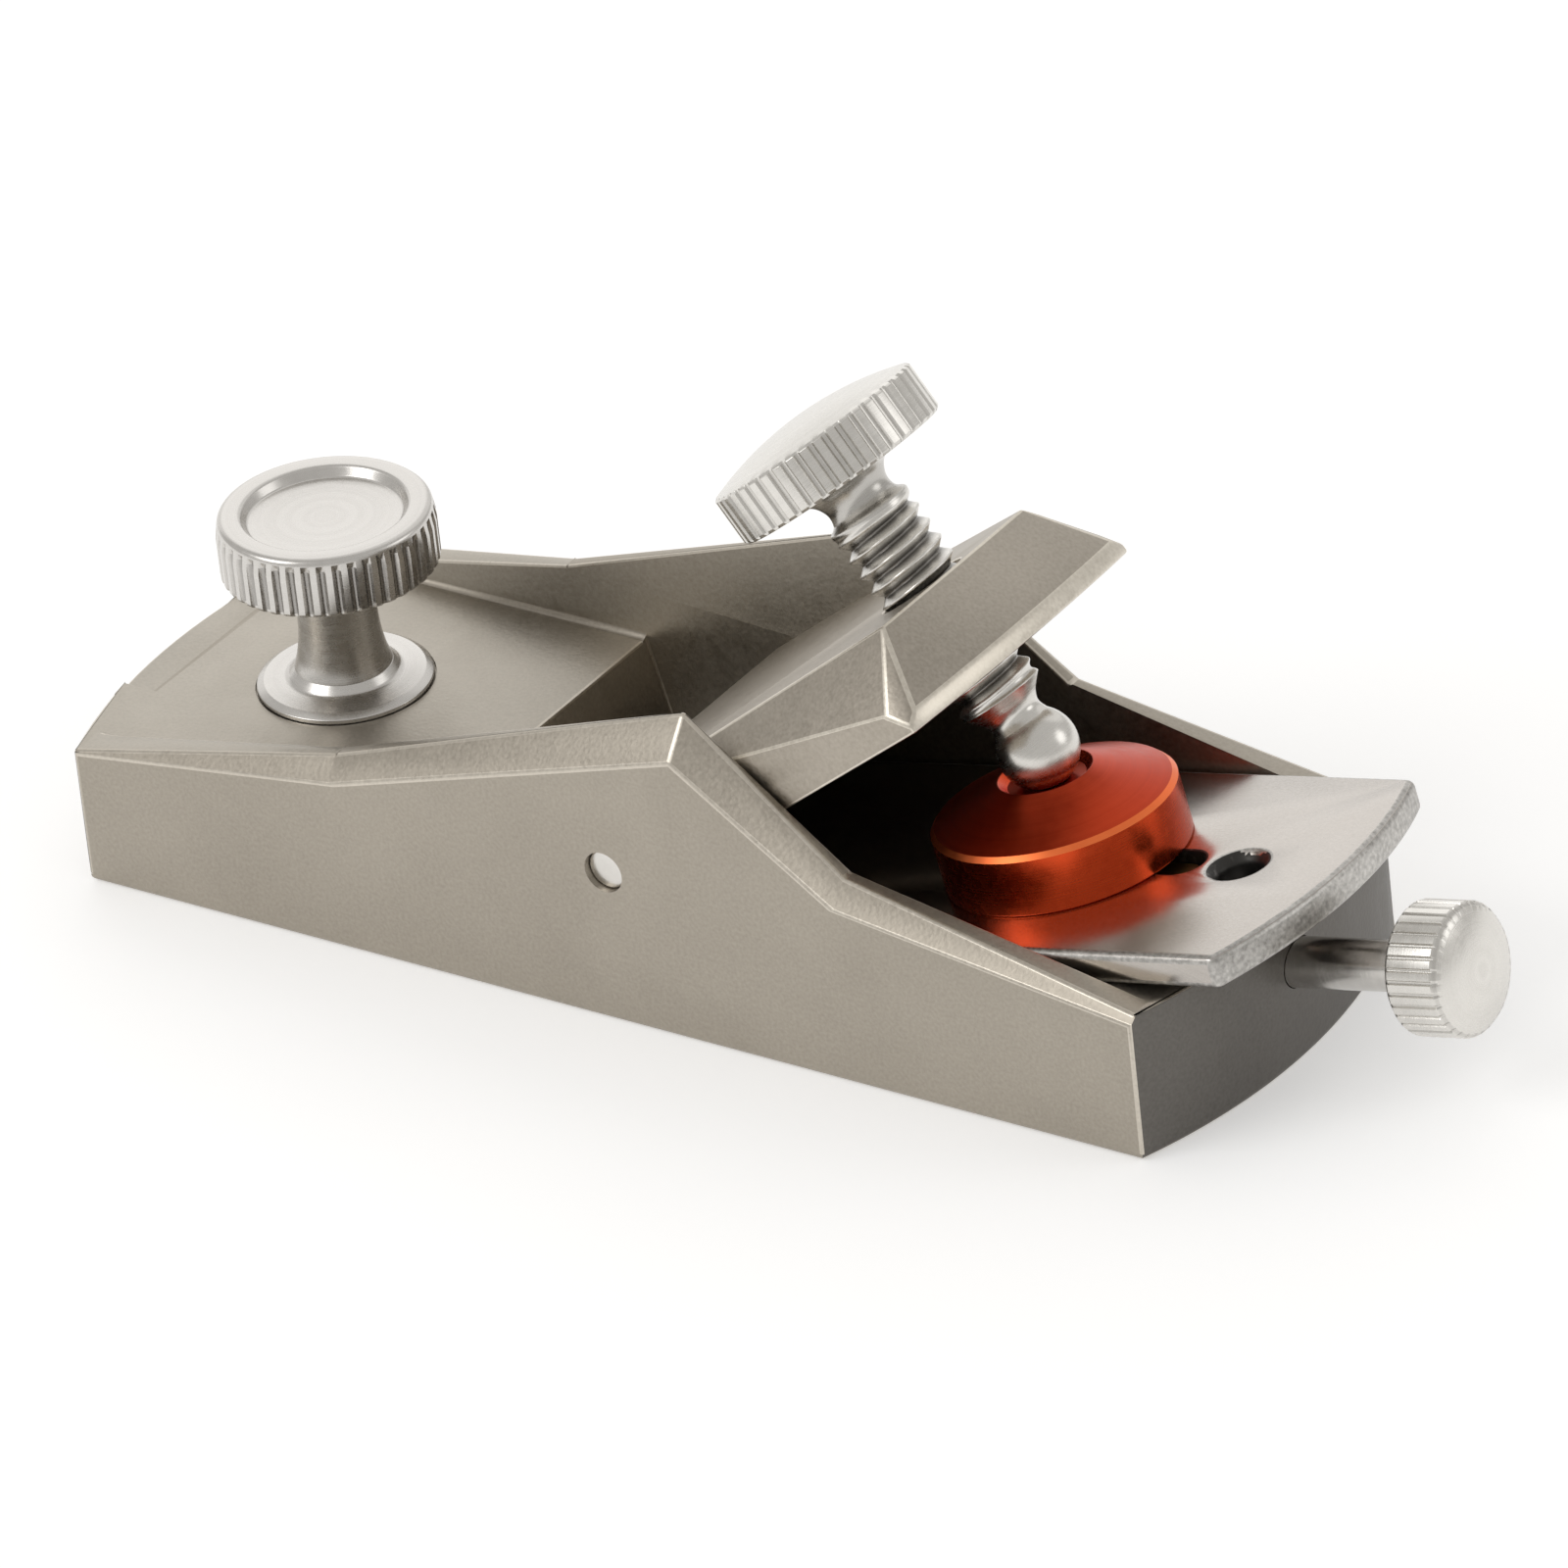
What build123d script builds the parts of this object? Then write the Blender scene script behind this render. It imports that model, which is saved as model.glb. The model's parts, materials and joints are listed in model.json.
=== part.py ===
"""A small low-angle block plane: pivoted lever cap, ball-ended clamp screw and screw depth adjuster.

Frame: +X runs from the toe to the heel, +Z is up, and the origin is on the sole, midway between the side
walls and midway between the corners of the toe and the heel. Every size is in millimetres.
"""
from build123d import *
import os
from math import cos, radians, sin, sqrt, tan

os.makedirs("parts", exist_ok=True)

# ---- fits ----------------------------------------------------------------------------------------------
FIXED_FIT = 0.03  # radial gap of a pin or stud in the piece that holds it
RUNNING_FIT = 0.08  # radial gap of a screw or a pivot that turns
SIDE_PLAY = 0.4  # gap of a sliding or tilting piece at each side

# ---- body ----------------------------------------------------------------------------------------------
BODY_WIDTH = 50.0
SIDE_LENGTH = 135.6  # from corner to corner, without the bulge of the ends
TOE_BULGE = 4.35
HEEL_BULGE = 4.6
SOLE_EDGE = 0.9
WALL = 4.0
DECK_HEIGHT = 16.4
DECK_FILLET = 0.8
HEEL_HEIGHT = 17.5
# the crest of the side walls: distance forward of (-) or behind (+) the middle, height, depth of the chamfer
CREST_FRONT = (-33.7, 23.2, 2.6)
CREST_PEAK = (12.1, 38.7, 4.2)
CREST_REAR = (31.5, 24.0, 2.8)
CREST_HEEL_CHAMFER = 1.1
CREST_TOE_CHAMFER = 0.4
CHAMFER_SLOPE = 1.2  # rise of the chamfer for each millimetre inward
PEAK_ROUND = 2.2
THROAT_TOP = -24.0  # rear edge of the deck
MOUTH_LIP = 1.6  # height of the upright lip at the front of the mouth
MOUTH_GAP = 1.0  # from the lip to the bed line
BED_NOSE = 1.6  # the bed starts this far behind its knife edge

# ---- bed and blade -------------------------------------------------------------------------------------
BED_ANGLE = 12.0
BED_START = -19.3  # where the bed meets the sole
BLADE_WIDTH = 40.0
BLADE_THICKNESS = 3.7
BLADE_LENGTH = 101.0
BLADE_BULGE = 3.7
BLADE_CORNER = 1.2
BLADE_EDGE_BREAK = 0.5
BLADE_SETBACK = 0.3  # the cutting edge rests this far up the bed
GRIND_ANGLE = 25.0
BLADE_HOLE_RADIUS = 2.5
BLADE_HOLE_COUNTERSINK = 3.5
BLADE_HOLE_PLACE = 87.9  # along the bed
SLOT_WIDTH = 5.2
SLOT_END = 83.2
SLOT_LENGTH = 10.3

# ---- lever cap and its clamp ---------------------------------------------------------------------------
PIN_X = 1.9
PIN_Z = 18.6
PIN_RADIUS = 2.35
PIN_RECESS = 0.8
CLAMP_LEAN = 37.5  # the clamp screw leans forward from upright by this
DISC_PLACE = 66.0  # foot of the pressure disc, along the bed
DISC_RADIUS = 13.5
DISC_RIM = 7.0
DISC_EDGE = 0.5
DISC_HEIGHT = 10.3
SOCKET_MOUTH = 5.2
SOCKET_DEPTH = 0.9
BALL_RADIUS = 4.2
BALL_HEIGHT = 13.05  # centre of the ball above the blade
MAGNET_RADIUS = 3.0
MAGNET_LENGTH = 4.5
MAGNET_TOP = 8.0
CAP_UNDERSIDE = 10.5  # along the clamp screw, from the centre of the ball
CAP_THICKNESS = 10.5
CAP_RIDGE = 5.3  # the ridge lies this far behind the axis of the screw
CAP_REAR_LIP = 2.4
CAP_REAR_END = 9.6
CAP_BULGE = 2.2
CAP_FRONT = 26.0  # the flat top ends this far in front of the screw
CAP_RIDGE_HALF = 13.4
CAP_BEVEL_REAR = 3.0  # height of the side face above the underside, at the rear
CAP_BEVEL_RUN = 27.0
CAP_BEVEL_RISE = 5.3  # the side face grows by this over that run
CAP_UNDERSIDE_FRONT = 46.0  # the underside turns down to the nose this far in front of the screw
CAP_CORNER = 3.4  # the clipped rear corner, along the rear edge
NOSE_FRONT = 9.5  # the nose bears on the blade from here, along the bed
NOSE_PAD = 4.0
NOSE_HEIGHT = 4.0
NOSE_CLEAR = 0.02
SHOULDER_FORWARD = 8.2  # from the pivot
SHOULDER_RISE = 1.0

SCREW_RADIUS = 4.8
SCREW_PITCH = 2.0
SCREW_GROOVE = 1.0
SCREW_START = 7.0  # along the screw, from the centre of the ball
SCREW_END = 30.0
WAIST_RADIUS = 3.3
WAIST_HEIGHT = 3.7
COVE_RADIUS = 3.8
COVE_HEIGHT = 32.8
KNOB_UNDERSIDE = 35.2
KNOB_RIM = 5.8
KNOB_RADIUS = 12.5
KNOB_DOME = 2.1
KNOB_FLUTES = 44
FLUTE_RADIUS = 0.55

# ---- depth adjuster ------------------------------------------------------------------------------------
ADJUSTER_DEPTH = 7.7  # axis of the adjuster below the bed
ADJUSTER_SHAFT = 2.75
ADJUSTER_THREAD = 2.5
ADJUSTER_PITCH = 0.8
ADJUSTER_NECK = 1.9
ADJUSTER_FRONT = 69.0  # along the bed, as are the five that follow
POCKET_FRONT = 67.5
POCKET_REAR = 84.5
CARRIAGE_FRONT = 71.0
ADJUSTER_KNOB_FRONT = 108.0
FORK_THICKNESS = 2.0
FORK_HALF_WIDTH = 9.0
FORK_PLAY = 0.05
POCKET_DEPTH = 12.2
CARRIAGE_LENGTH = 10.0
CARRIAGE_HALF_WIDTH = 6.0
CARRIAGE_TOP = 0.4
DOG_LENGTH = 8.5
DOG_WIDTH = 5.0
DOG_FRONT = 73.5
DOG_HEIGHT = 2.2
DOG_PIN_RADIUS = 1.5
DOG_PIN_LENGTH = 3.6
ADJUSTER_KNOB_RADIUS = 7.2
ADJUSTER_KNOB_LENGTH = 6.4
ADJUSTER_KNOB_DOME = 1.3
ADJUSTER_KNOB_BORE = 4.2
ADJUSTER_FLUTES = 34
ADJUSTER_FLUTE_RADIUS = 0.42
GRUB_RADIUS = 1.5
GRUB_PLACE = 1.9  # behind the front face of the knob
GRUB_SEAT = 0.4

# ---- front knob ----------------------------------------------------------------------------------------
FRONT_KNOB_X = -49.3
FRONT_KNOB_RADIUS = 12.0
FRONT_KNOB_TOP = 37.9
FRONT_KNOB_UNDERSIDE = 31.0
FRONT_KNOB_RIM_ROUND = 1.3
FRONT_DISH_RADIUS = 8.7
FRONT_DISH_DEPTH = 1.3
FRONT_DISH_ROUND = 0.9
FRONT_NECK_TOP = 4.4
FRONT_NECK_FOOT = 5.4
FRONT_FLUTES = 44
BASE_RADIUS = 9.7
BASE_RECESS = 0.5
BASE_LIP = 0.5
BASE_LIP_RADIUS = 8.9
BASE_CONE_RADIUS = 6.2
BASE_CONE_RISE = 1.3
BASE_TOP_RISE = 2.4
STUD_RADIUS = 3.0
STUD_BOTTOM = 5.0
STUD_TOP = 33.0

# ---- worked out ----------------------------------------------------------------------------------------
half_width = BODY_WIDTH / 2
half_side = SIDE_LENGTH / 2
inner_half = half_width - WALL
ceiling = CREST_PEAK[1] + KNOB_RIM
far_end = SIDE_LENGTH
bed_slope = tan(radians(BED_ANGLE))
bed_cos = cos(radians(BED_ANGLE))
bed_sin = sin(radians(BED_ANGLE))
lean_cos = cos(radians(CLAMP_LEAN))
lean_sin = sin(radians(CLAMP_LEAN))


def on_bed(along, above):
    """The X and Z of a point given along the bed from the mouth, and above the bed."""
    return (BED_START + along * bed_cos - above * bed_sin, along * bed_sin + above * bed_cos)


ball_x, ball_z = on_bed(DISC_PLACE, BLADE_THICKNESS + BALL_HEIGHT)


def on_screw(behind, up):
    """The X and Z of a point given behind the axis of the clamp screw, and up it from the ball."""
    return (ball_x + behind * lean_cos - up * lean_sin, ball_z + behind * lean_sin + up * lean_cos)


bed_plane = Plane(origin=(BED_START, 0, 0), x_dir=(bed_cos, 0, bed_sin), z_dir=(-bed_sin, 0, bed_cos))
bed_side = Plane(origin=(BED_START, 0, 0), x_dir=(bed_cos, 0, bed_sin), z_dir=(0, -1, 0))
screw_plane = Plane(origin=(ball_x, 0, ball_z), x_dir=(lean_cos, 0, lean_sin), z_dir=(-lean_sin, 0, lean_cos))
screw_side = Plane(origin=(ball_x, 0, ball_z), x_dir=(lean_cos, 0, lean_sin), z_dir=(0, -1, 0))
screw_axis = Axis(origin=(ball_x, 0, ball_z), direction=(-lean_sin, 0, lean_cos))
disc_foot = on_bed(DISC_PLACE, BLADE_THICKNESS)
disc_axis = Axis(origin=(disc_foot[0], 0, disc_foot[1]), direction=(-bed_sin, 0, bed_cos))
adjuster_point = on_bed(0, -ADJUSTER_DEPTH)
adjuster_axis = Axis(origin=(adjuster_point[0], 0, adjuster_point[1]), direction=(bed_cos, 0, bed_sin))
adjuster_side = Plane(origin=adjuster_axis.position, x_dir=(bed_cos, 0, bed_sin), z_dir=(0, -1, 0))
front_knob_side = Plane(origin=(FRONT_KNOB_X, 0, 0), x_dir=(1, 0, 0), z_dir=(0, -1, 0))
front_knob_axis = Axis(origin=(FRONT_KNOB_X, 0, 0), direction=(0, 0, 1))


def across_adjuster(along):
    """The plane square to the adjuster's axis, at a place along the bed."""
    x, z = on_bed(along, -ADJUSTER_DEPTH)
    return Plane(origin=(x, 0, z), x_dir=(0, 1, 0), z_dir=(bed_cos, 0, bed_sin))


def sagitta_radius(half_chord, bulge):
    """The radius of the arc that bulges by so much over a chord."""
    return (half_chord**2 + bulge**2) / (2 * bulge)


# ---- plane body ----------------------------------------------------------------------------------------
crest = [
    (-far_end, DECK_HEIGHT),
    (-half_side, DECK_HEIGHT),
    CREST_FRONT[:2],
    CREST_PEAK[:2],
    CREST_REAR[:2],
    (half_side, HEEL_HEIGHT),
    (far_end, HEEL_HEIGHT),
]
crest_drop = [
    CREST_TOE_CHAMFER,
    CREST_TOE_CHAMFER,
    CREST_FRONT[2],
    CREST_PEAK[2],
    CREST_REAR[2],
    CREST_HEEL_CHAMFER,
    CREST_HEEL_CHAMFER,
]
shoulder = [(x, z - drop) for (x, z), drop in zip(crest, crest_drop)]

with BuildPart() as chamfered_sides:
    for side in (-1, 1):
        with BuildSketch(Plane.XZ.offset(-side * half_width)) as outer_face:
            with BuildLine():
                Polyline(*shoulder, (far_end, -1), (-far_end, -1), close=True)
            make_face()
            fillet(outer_face.vertices().sort_by(Axis.Z)[-1], PEAK_ROUND)
        extrude(amount=half_width * sqrt(1 + CHAMFER_SLOPE**2), dir=(0, -side, CHAMFER_SLOPE))
    with BuildSketch(Plane.XZ) as below:
        with BuildLine():
            Polyline(*shoulder, (far_end, -1), (-far_end, -1), close=True)
        make_face()
        fillet(below.vertices().sort_by(Axis.Z)[-1], PEAK_ROUND)
    extrude(amount=half_width, both=True)

with BuildPart() as plane_body:
    with BuildSketch():
        with BuildLine():
            near_side = Line((-half_side, -half_width), (half_side, -half_width))
            heel_end = ThreePointArc(near_side @ 1, (half_side + HEEL_BULGE, 0), (half_side, half_width))
            far_side = Line(heel_end @ 1, (-half_side, half_width))
            ThreePointArc(far_side @ 1, (-half_side - TOE_BULGE, 0), near_side @ 0)
        make_face()
    extrude(amount=ceiling)
    fillet(plane_body.edges().group_by(Axis.Z)[0], SOLE_EDGE)
    with BuildSketch(Plane.XZ) as side_view:
        with BuildLine():
            Polyline(*crest, (far_end, 0), (-far_end, 0), close=True)
        make_face()
        fillet(side_view.vertices().sort_by(Axis.Z)[-1], PEAK_ROUND)
    extrude(amount=BODY_WIDTH, both=True, mode=Mode.INTERSECT)
    add(chamfered_sides.part, mode=Mode.INTERSECT)
    # the deck, sunk between the walls, and the throat and the bed behind it
    with BuildSketch(Plane.YZ.offset(-far_end)) as deck_channel:
        with Locations((0, (ceiling + DECK_HEIGHT) / 2)):
            Rectangle(2 * inner_half, ceiling - DECK_HEIGHT)
        fillet(deck_channel.vertices().group_by(Axis.Z)[0], DECK_FILLET)
    extrude(amount=far_end + THROAT_TOP, mode=Mode.SUBTRACT)
    with BuildSketch(Plane.XZ):
        with BuildLine():
            mouth_x = BED_START - MOUTH_GAP
            bed_foot = BED_START + BED_NOSE
            heel_top_x = BED_START + HEEL_HEIGHT / bed_slope
            Polyline(
                (THROAT_TOP, ceiling),
                (THROAT_TOP, DECK_HEIGHT),
                (mouth_x, MOUTH_LIP),
                (mouth_x, -1),
                (bed_foot, -1),
                (bed_foot, BED_NOSE * bed_slope),
                (heel_top_x, HEEL_HEIGHT),
                (far_end, HEEL_HEIGHT),
                (far_end, ceiling),
                close=True,
            )
        make_face()
    extrude(amount=inner_half, both=True, mode=Mode.SUBTRACT)
    # the pocket of the carriage, the slot of the fork and the bore of the adjuster
    with BuildSketch(bed_plane.offset(-POCKET_DEPTH)):
        with Locations(((POCKET_FRONT + POCKET_REAR) / 2, 0)):
            Rectangle(POCKET_REAR - POCKET_FRONT, 2 * (CARRIAGE_HALF_WIDTH + SIDE_PLAY))
        with Locations((POCKET_REAR + FORK_THICKNESS / 2 + FORK_PLAY, 0)):
            Rectangle(FORK_THICKNESS + 2 * FORK_PLAY, 2 * (FORK_HALF_WIDTH + FORK_PLAY))
    extrude(amount=POCKET_DEPTH + BLADE_THICKNESS, mode=Mode.SUBTRACT)
    with BuildSketch(across_adjuster(POCKET_REAR)):
        Circle(ADJUSTER_SHAFT + RUNNING_FIT)
    extrude(amount=ADJUSTER_KNOB_FRONT - POCKET_REAR, mode=Mode.SUBTRACT)
    # the pivot holes, and the seat and the tapped hole of the front knob
    with BuildSketch(Plane.XZ.offset(-half_width)):
        with Locations((PIN_X, PIN_Z)):
            Circle(PIN_RADIUS + FIXED_FIT)
    extrude(amount=BODY_WIDTH, mode=Mode.SUBTRACT)
    with BuildSketch(Plane.XY.offset(DECK_HEIGHT - BASE_RECESS)):
        with Locations((FRONT_KNOB_X, 0)):
            Circle(BASE_RADIUS + SIDE_PLAY / 2)
    extrude(amount=2 * BASE_RECESS, mode=Mode.SUBTRACT)
    with BuildSketch(Plane.XY.offset(STUD_BOTTOM)):
        with Locations((FRONT_KNOB_X, 0)):
            Circle(STUD_RADIUS + FIXED_FIT)
    extrude(amount=DECK_HEIGHT, mode=Mode.SUBTRACT)

plane_body.part.label = "plane_body"
export_step(plane_body.part, "parts/plane_body.step")

# ---- cross pin -----------------------------------------------------------------------------------------
with BuildPart() as cross_pin:
    with BuildSketch(Plane.XZ.offset(PIN_RECESS - half_width)):
        with Locations((PIN_X, PIN_Z)):
            Circle(PIN_RADIUS)
    extrude(amount=BODY_WIDTH - 2 * PIN_RECESS)
    chamfer(cross_pin.edges(), PIN_RADIUS / 10)

cross_pin.part.label = "cross_pin"
export_step(cross_pin.part, "parts/cross_pin.step")

# ---- front knob, its base collar and its stud ----------------------------------------------------------
base_seat = DECK_HEIGHT - BASE_RECESS
base_top = DECK_HEIGHT + BASE_TOP_RISE
stud_hole = STUD_RADIUS + FIXED_FIT
with BuildPart() as front_knob_base:
    with BuildSketch(front_knob_side):
        with BuildLine():
            Polyline(
                (stud_hole, base_seat),
                (BASE_RADIUS, base_seat),
                (BASE_RADIUS, DECK_HEIGHT + BASE_LIP),
                (BASE_LIP_RADIUS, DECK_HEIGHT + 2 * BASE_LIP),
                (BASE_CONE_RADIUS, DECK_HEIGHT + BASE_CONE_RISE),
                (FRONT_NECK_FOOT, base_top),
                (stud_hole, base_top),
                close=True,
            )
        make_face()
    revolve(axis=front_knob_axis)

front_knob_base.part.label = "front_knob_base"
export_step(front_knob_base.part, "parts/front_knob_base.step")

with BuildPart() as front_knob_stud:
    with BuildSketch(Plane.XY.offset(STUD_BOTTOM)):
        with Locations((FRONT_KNOB_X, 0)):
            Circle(STUD_RADIUS)
    extrude(amount=STUD_TOP - STUD_BOTTOM)
    chamfer(front_knob_stud.edges(), STUD_RADIUS / 6)

front_knob_stud.part.label = "front_knob_stud"
export_step(front_knob_stud.part, "parts/front_knob_stud.step")

with BuildPart() as front_knob:
    with BuildSketch(Plane.XY.offset(FRONT_KNOB_UNDERSIDE)):
        with Locations((FRONT_KNOB_X, 0)):
            Circle(FRONT_KNOB_RADIUS)
            with PolarLocations(FRONT_KNOB_RADIUS, FRONT_FLUTES):
                Circle(FLUTE_RADIUS, mode=Mode.SUBTRACT)
    extrude(amount=FRONT_KNOB_TOP - FRONT_KNOB_UNDERSIDE)
    # the rounded rim and the dished top are turned after the fluting
    with BuildSketch(front_knob_side):
        with BuildLine():
            dish_floor = FRONT_KNOB_TOP - FRONT_DISH_DEPTH
            Polyline(
                (0, FRONT_KNOB_UNDERSIDE - 1),
                (FRONT_KNOB_RADIUS + 1, FRONT_KNOB_UNDERSIDE - 1),
                (FRONT_KNOB_RADIUS + 1, FRONT_KNOB_TOP - FRONT_KNOB_RIM_ROUND),
                (FRONT_KNOB_RADIUS, FRONT_KNOB_TOP - FRONT_KNOB_RIM_ROUND),
                (FRONT_KNOB_RADIUS - FRONT_KNOB_RIM_ROUND, FRONT_KNOB_TOP),
                (FRONT_DISH_RADIUS + FRONT_DISH_ROUND, FRONT_KNOB_TOP),
                (FRONT_DISH_RADIUS, dish_floor),
                (0, dish_floor),
                close=True,
            )
        make_face()
    revolve(axis=front_knob_axis, mode=Mode.INTERSECT)
    with BuildSketch(front_knob_side):
        with BuildLine():
            neck_join = FRONT_KNOB_UNDERSIDE + FRONT_DISH_DEPTH
            neck = (
                (FRONT_NECK_FOOT, base_top),
                (FRONT_NECK_TOP, (base_top + FRONT_KNOB_UNDERSIDE) / 2),
                (FRONT_NECK_TOP, FRONT_KNOB_UNDERSIDE - 1),
                (FRONT_NECK_FOOT, FRONT_KNOB_UNDERSIDE),
            )
            Spline(*neck)
            Polyline(neck[-1], (FRONT_NECK_FOOT, neck_join), (0, neck_join), (0, base_top), neck[0])
        make_face()
    revolve(axis=front_knob_axis)
    with BuildSketch(Plane.XY.offset(base_top)):
        with Locations((FRONT_KNOB_X, 0)):
            Circle(stud_hole)
    extrude(amount=STUD_TOP - base_top, mode=Mode.SUBTRACT)

front_knob.part.label = "front_knob"
export_step(front_knob.part, "parts/front_knob.step")

# ---- lever cap -----------------------------------------------------------------------------------------
cap_half = inner_half - SIDE_PLAY
cap_top = CAP_UNDERSIDE + CAP_THICKNESS
side_face_top = CAP_UNDERSIDE + CAP_BEVEL_REAR
nose_bottom = BLADE_THICKNESS + NOSE_CLEAR


def cap_point(behind, sideways, up):
    """A point given behind the clamp screw, to one side of it, and up it from the ball."""
    x, z = on_screw(behind, up)
    return Vector(x, sideways, z)


def plane_through(first, second, third, outward):
    """The plane through three points, its normal on the side of an outward direction."""
    normal = (second - first).cross(third - first)
    if normal.dot(Vector(*outward)) < 0:
        normal = normal * -1
    return Plane(origin=first, z_dir=normal)


with BuildPart() as lever_cap:
    with BuildSketch(Plane.XZ):
        with BuildLine():
            Polyline(
                on_screw(CAP_REAR_END, CAP_UNDERSIDE),
                on_screw(CAP_REAR_END, CAP_UNDERSIDE + CAP_REAR_LIP),
                on_screw(CAP_RIDGE, cap_top),
                on_screw(-CAP_FRONT, cap_top),
                (PIN_X - SHOULDER_FORWARD, PIN_Z + SHOULDER_RISE),
                on_bed(NOSE_FRONT - 1, nose_bottom + NOSE_HEIGHT),
                on_bed(NOSE_FRONT, nose_bottom),
                on_bed(NOSE_FRONT + NOSE_PAD, nose_bottom),
                on_screw(-CAP_UNDERSIDE_FRONT, CAP_UNDERSIDE),
                close=True,
            )
        make_face()
    extrude(amount=cap_half, both=True)
    # the rear edge is an arc seen along the screw
    with BuildSketch(screw_plane.offset(-far_end)):
        with BuildLine():
            corner_x = CAP_REAR_END - CAP_BULGE
            rear_arc = ThreePointArc((corner_x, -cap_half), (CAP_REAR_END, 0), (corner_x, cap_half))
            Polyline(rear_arc @ 1, (-far_end, cap_half), (-far_end, -cap_half), rear_arc @ 0)
        make_face()
    extrude(amount=2 * far_end, mode=Mode.INTERSECT)
    # wide bevels along both sides and a clipped corner behind each
    for side in (-1, 1):
        ridge_end = cap_point(CAP_RIDGE, side * CAP_RIDGE_HALF, cap_top)
        bevel_rear = cap_point(CAP_RIDGE, side * cap_half, side_face_top)
        bevel_front = cap_point(CAP_RIDGE - CAP_BEVEL_RUN, side * cap_half, side_face_top + CAP_BEVEL_RISE)
        rear_corner = cap_point(CAP_REAR_END - CAP_CORNER / 4, side * (cap_half - CAP_CORNER), side_face_top)
        split(bisect_by=plane_through(ridge_end, bevel_rear, bevel_front, (0, side, 1)), keep=Keep.BOTTOM)
        split(bisect_by=plane_through(ridge_end, bevel_rear, rear_corner, (0, side, 1)), keep=Keep.BOTTOM)
    with BuildSketch(Plane.XZ.offset(-half_width)):
        with Locations((PIN_X, PIN_Z)):
            Circle(PIN_RADIUS + RUNNING_FIT)
    extrude(amount=BODY_WIDTH, mode=Mode.SUBTRACT)
    with BuildSketch(screw_plane):
        Circle(SCREW_RADIUS + RUNNING_FIT)
    extrude(amount=SCREW_END, mode=Mode.SUBTRACT)

lever_cap.part.label = "lever_cap"
export_step(lever_cap.part, "parts/lever_cap.step")

# ---- pressure disc and its magnet ----------------------------------------------------------------------
disc_side = Plane(origin=disc_axis.position, x_dir=(bed_cos, 0, bed_sin), z_dir=(0, -1, 0))
magnet_bore = MAGNET_RADIUS + FIXED_FIT
with BuildPart() as pressure_disc:
    with BuildSketch(disc_side):
        with BuildLine():
            Polyline(
                (magnet_bore, 0),
                (DISC_RADIUS - DISC_EDGE / 2, 0),
                (DISC_RADIUS, DISC_EDGE / 2),
                (DISC_RADIUS, DISC_RIM - DISC_EDGE),
                (DISC_RADIUS - DISC_EDGE, DISC_RIM),
                (SOCKET_MOUTH, DISC_HEIGHT),
                (SOCKET_MOUTH - SOCKET_DEPTH, DISC_HEIGHT - SOCKET_DEPTH),
                (0, DISC_HEIGHT - SOCKET_DEPTH),
                (0, MAGNET_TOP + FIXED_FIT),
                (magnet_bore, MAGNET_TOP + FIXED_FIT),
                close=True,
            )
        make_face()
    revolve(axis=disc_axis)
    with Locations((ball_x, 0, ball_z)):
        Sphere(BALL_RADIUS + RUNNING_FIT, mode=Mode.SUBTRACT)

pressure_disc.part.label = "pressure_disc"
export_step(pressure_disc.part, "parts/pressure_disc.step")

with BuildPart() as disc_magnet:
    with BuildSketch(bed_plane.offset(BLADE_THICKNESS + MAGNET_TOP - MAGNET_LENGTH)):
        with Locations((DISC_PLACE, 0)):
            Circle(MAGNET_RADIUS)
    extrude(amount=MAGNET_LENGTH)
    chamfer(disc_magnet.edges(), MAGNET_RADIUS / 10)

disc_magnet.part.label = "disc_magnet"
export_step(disc_magnet.part, "parts/disc_magnet.step")

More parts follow.
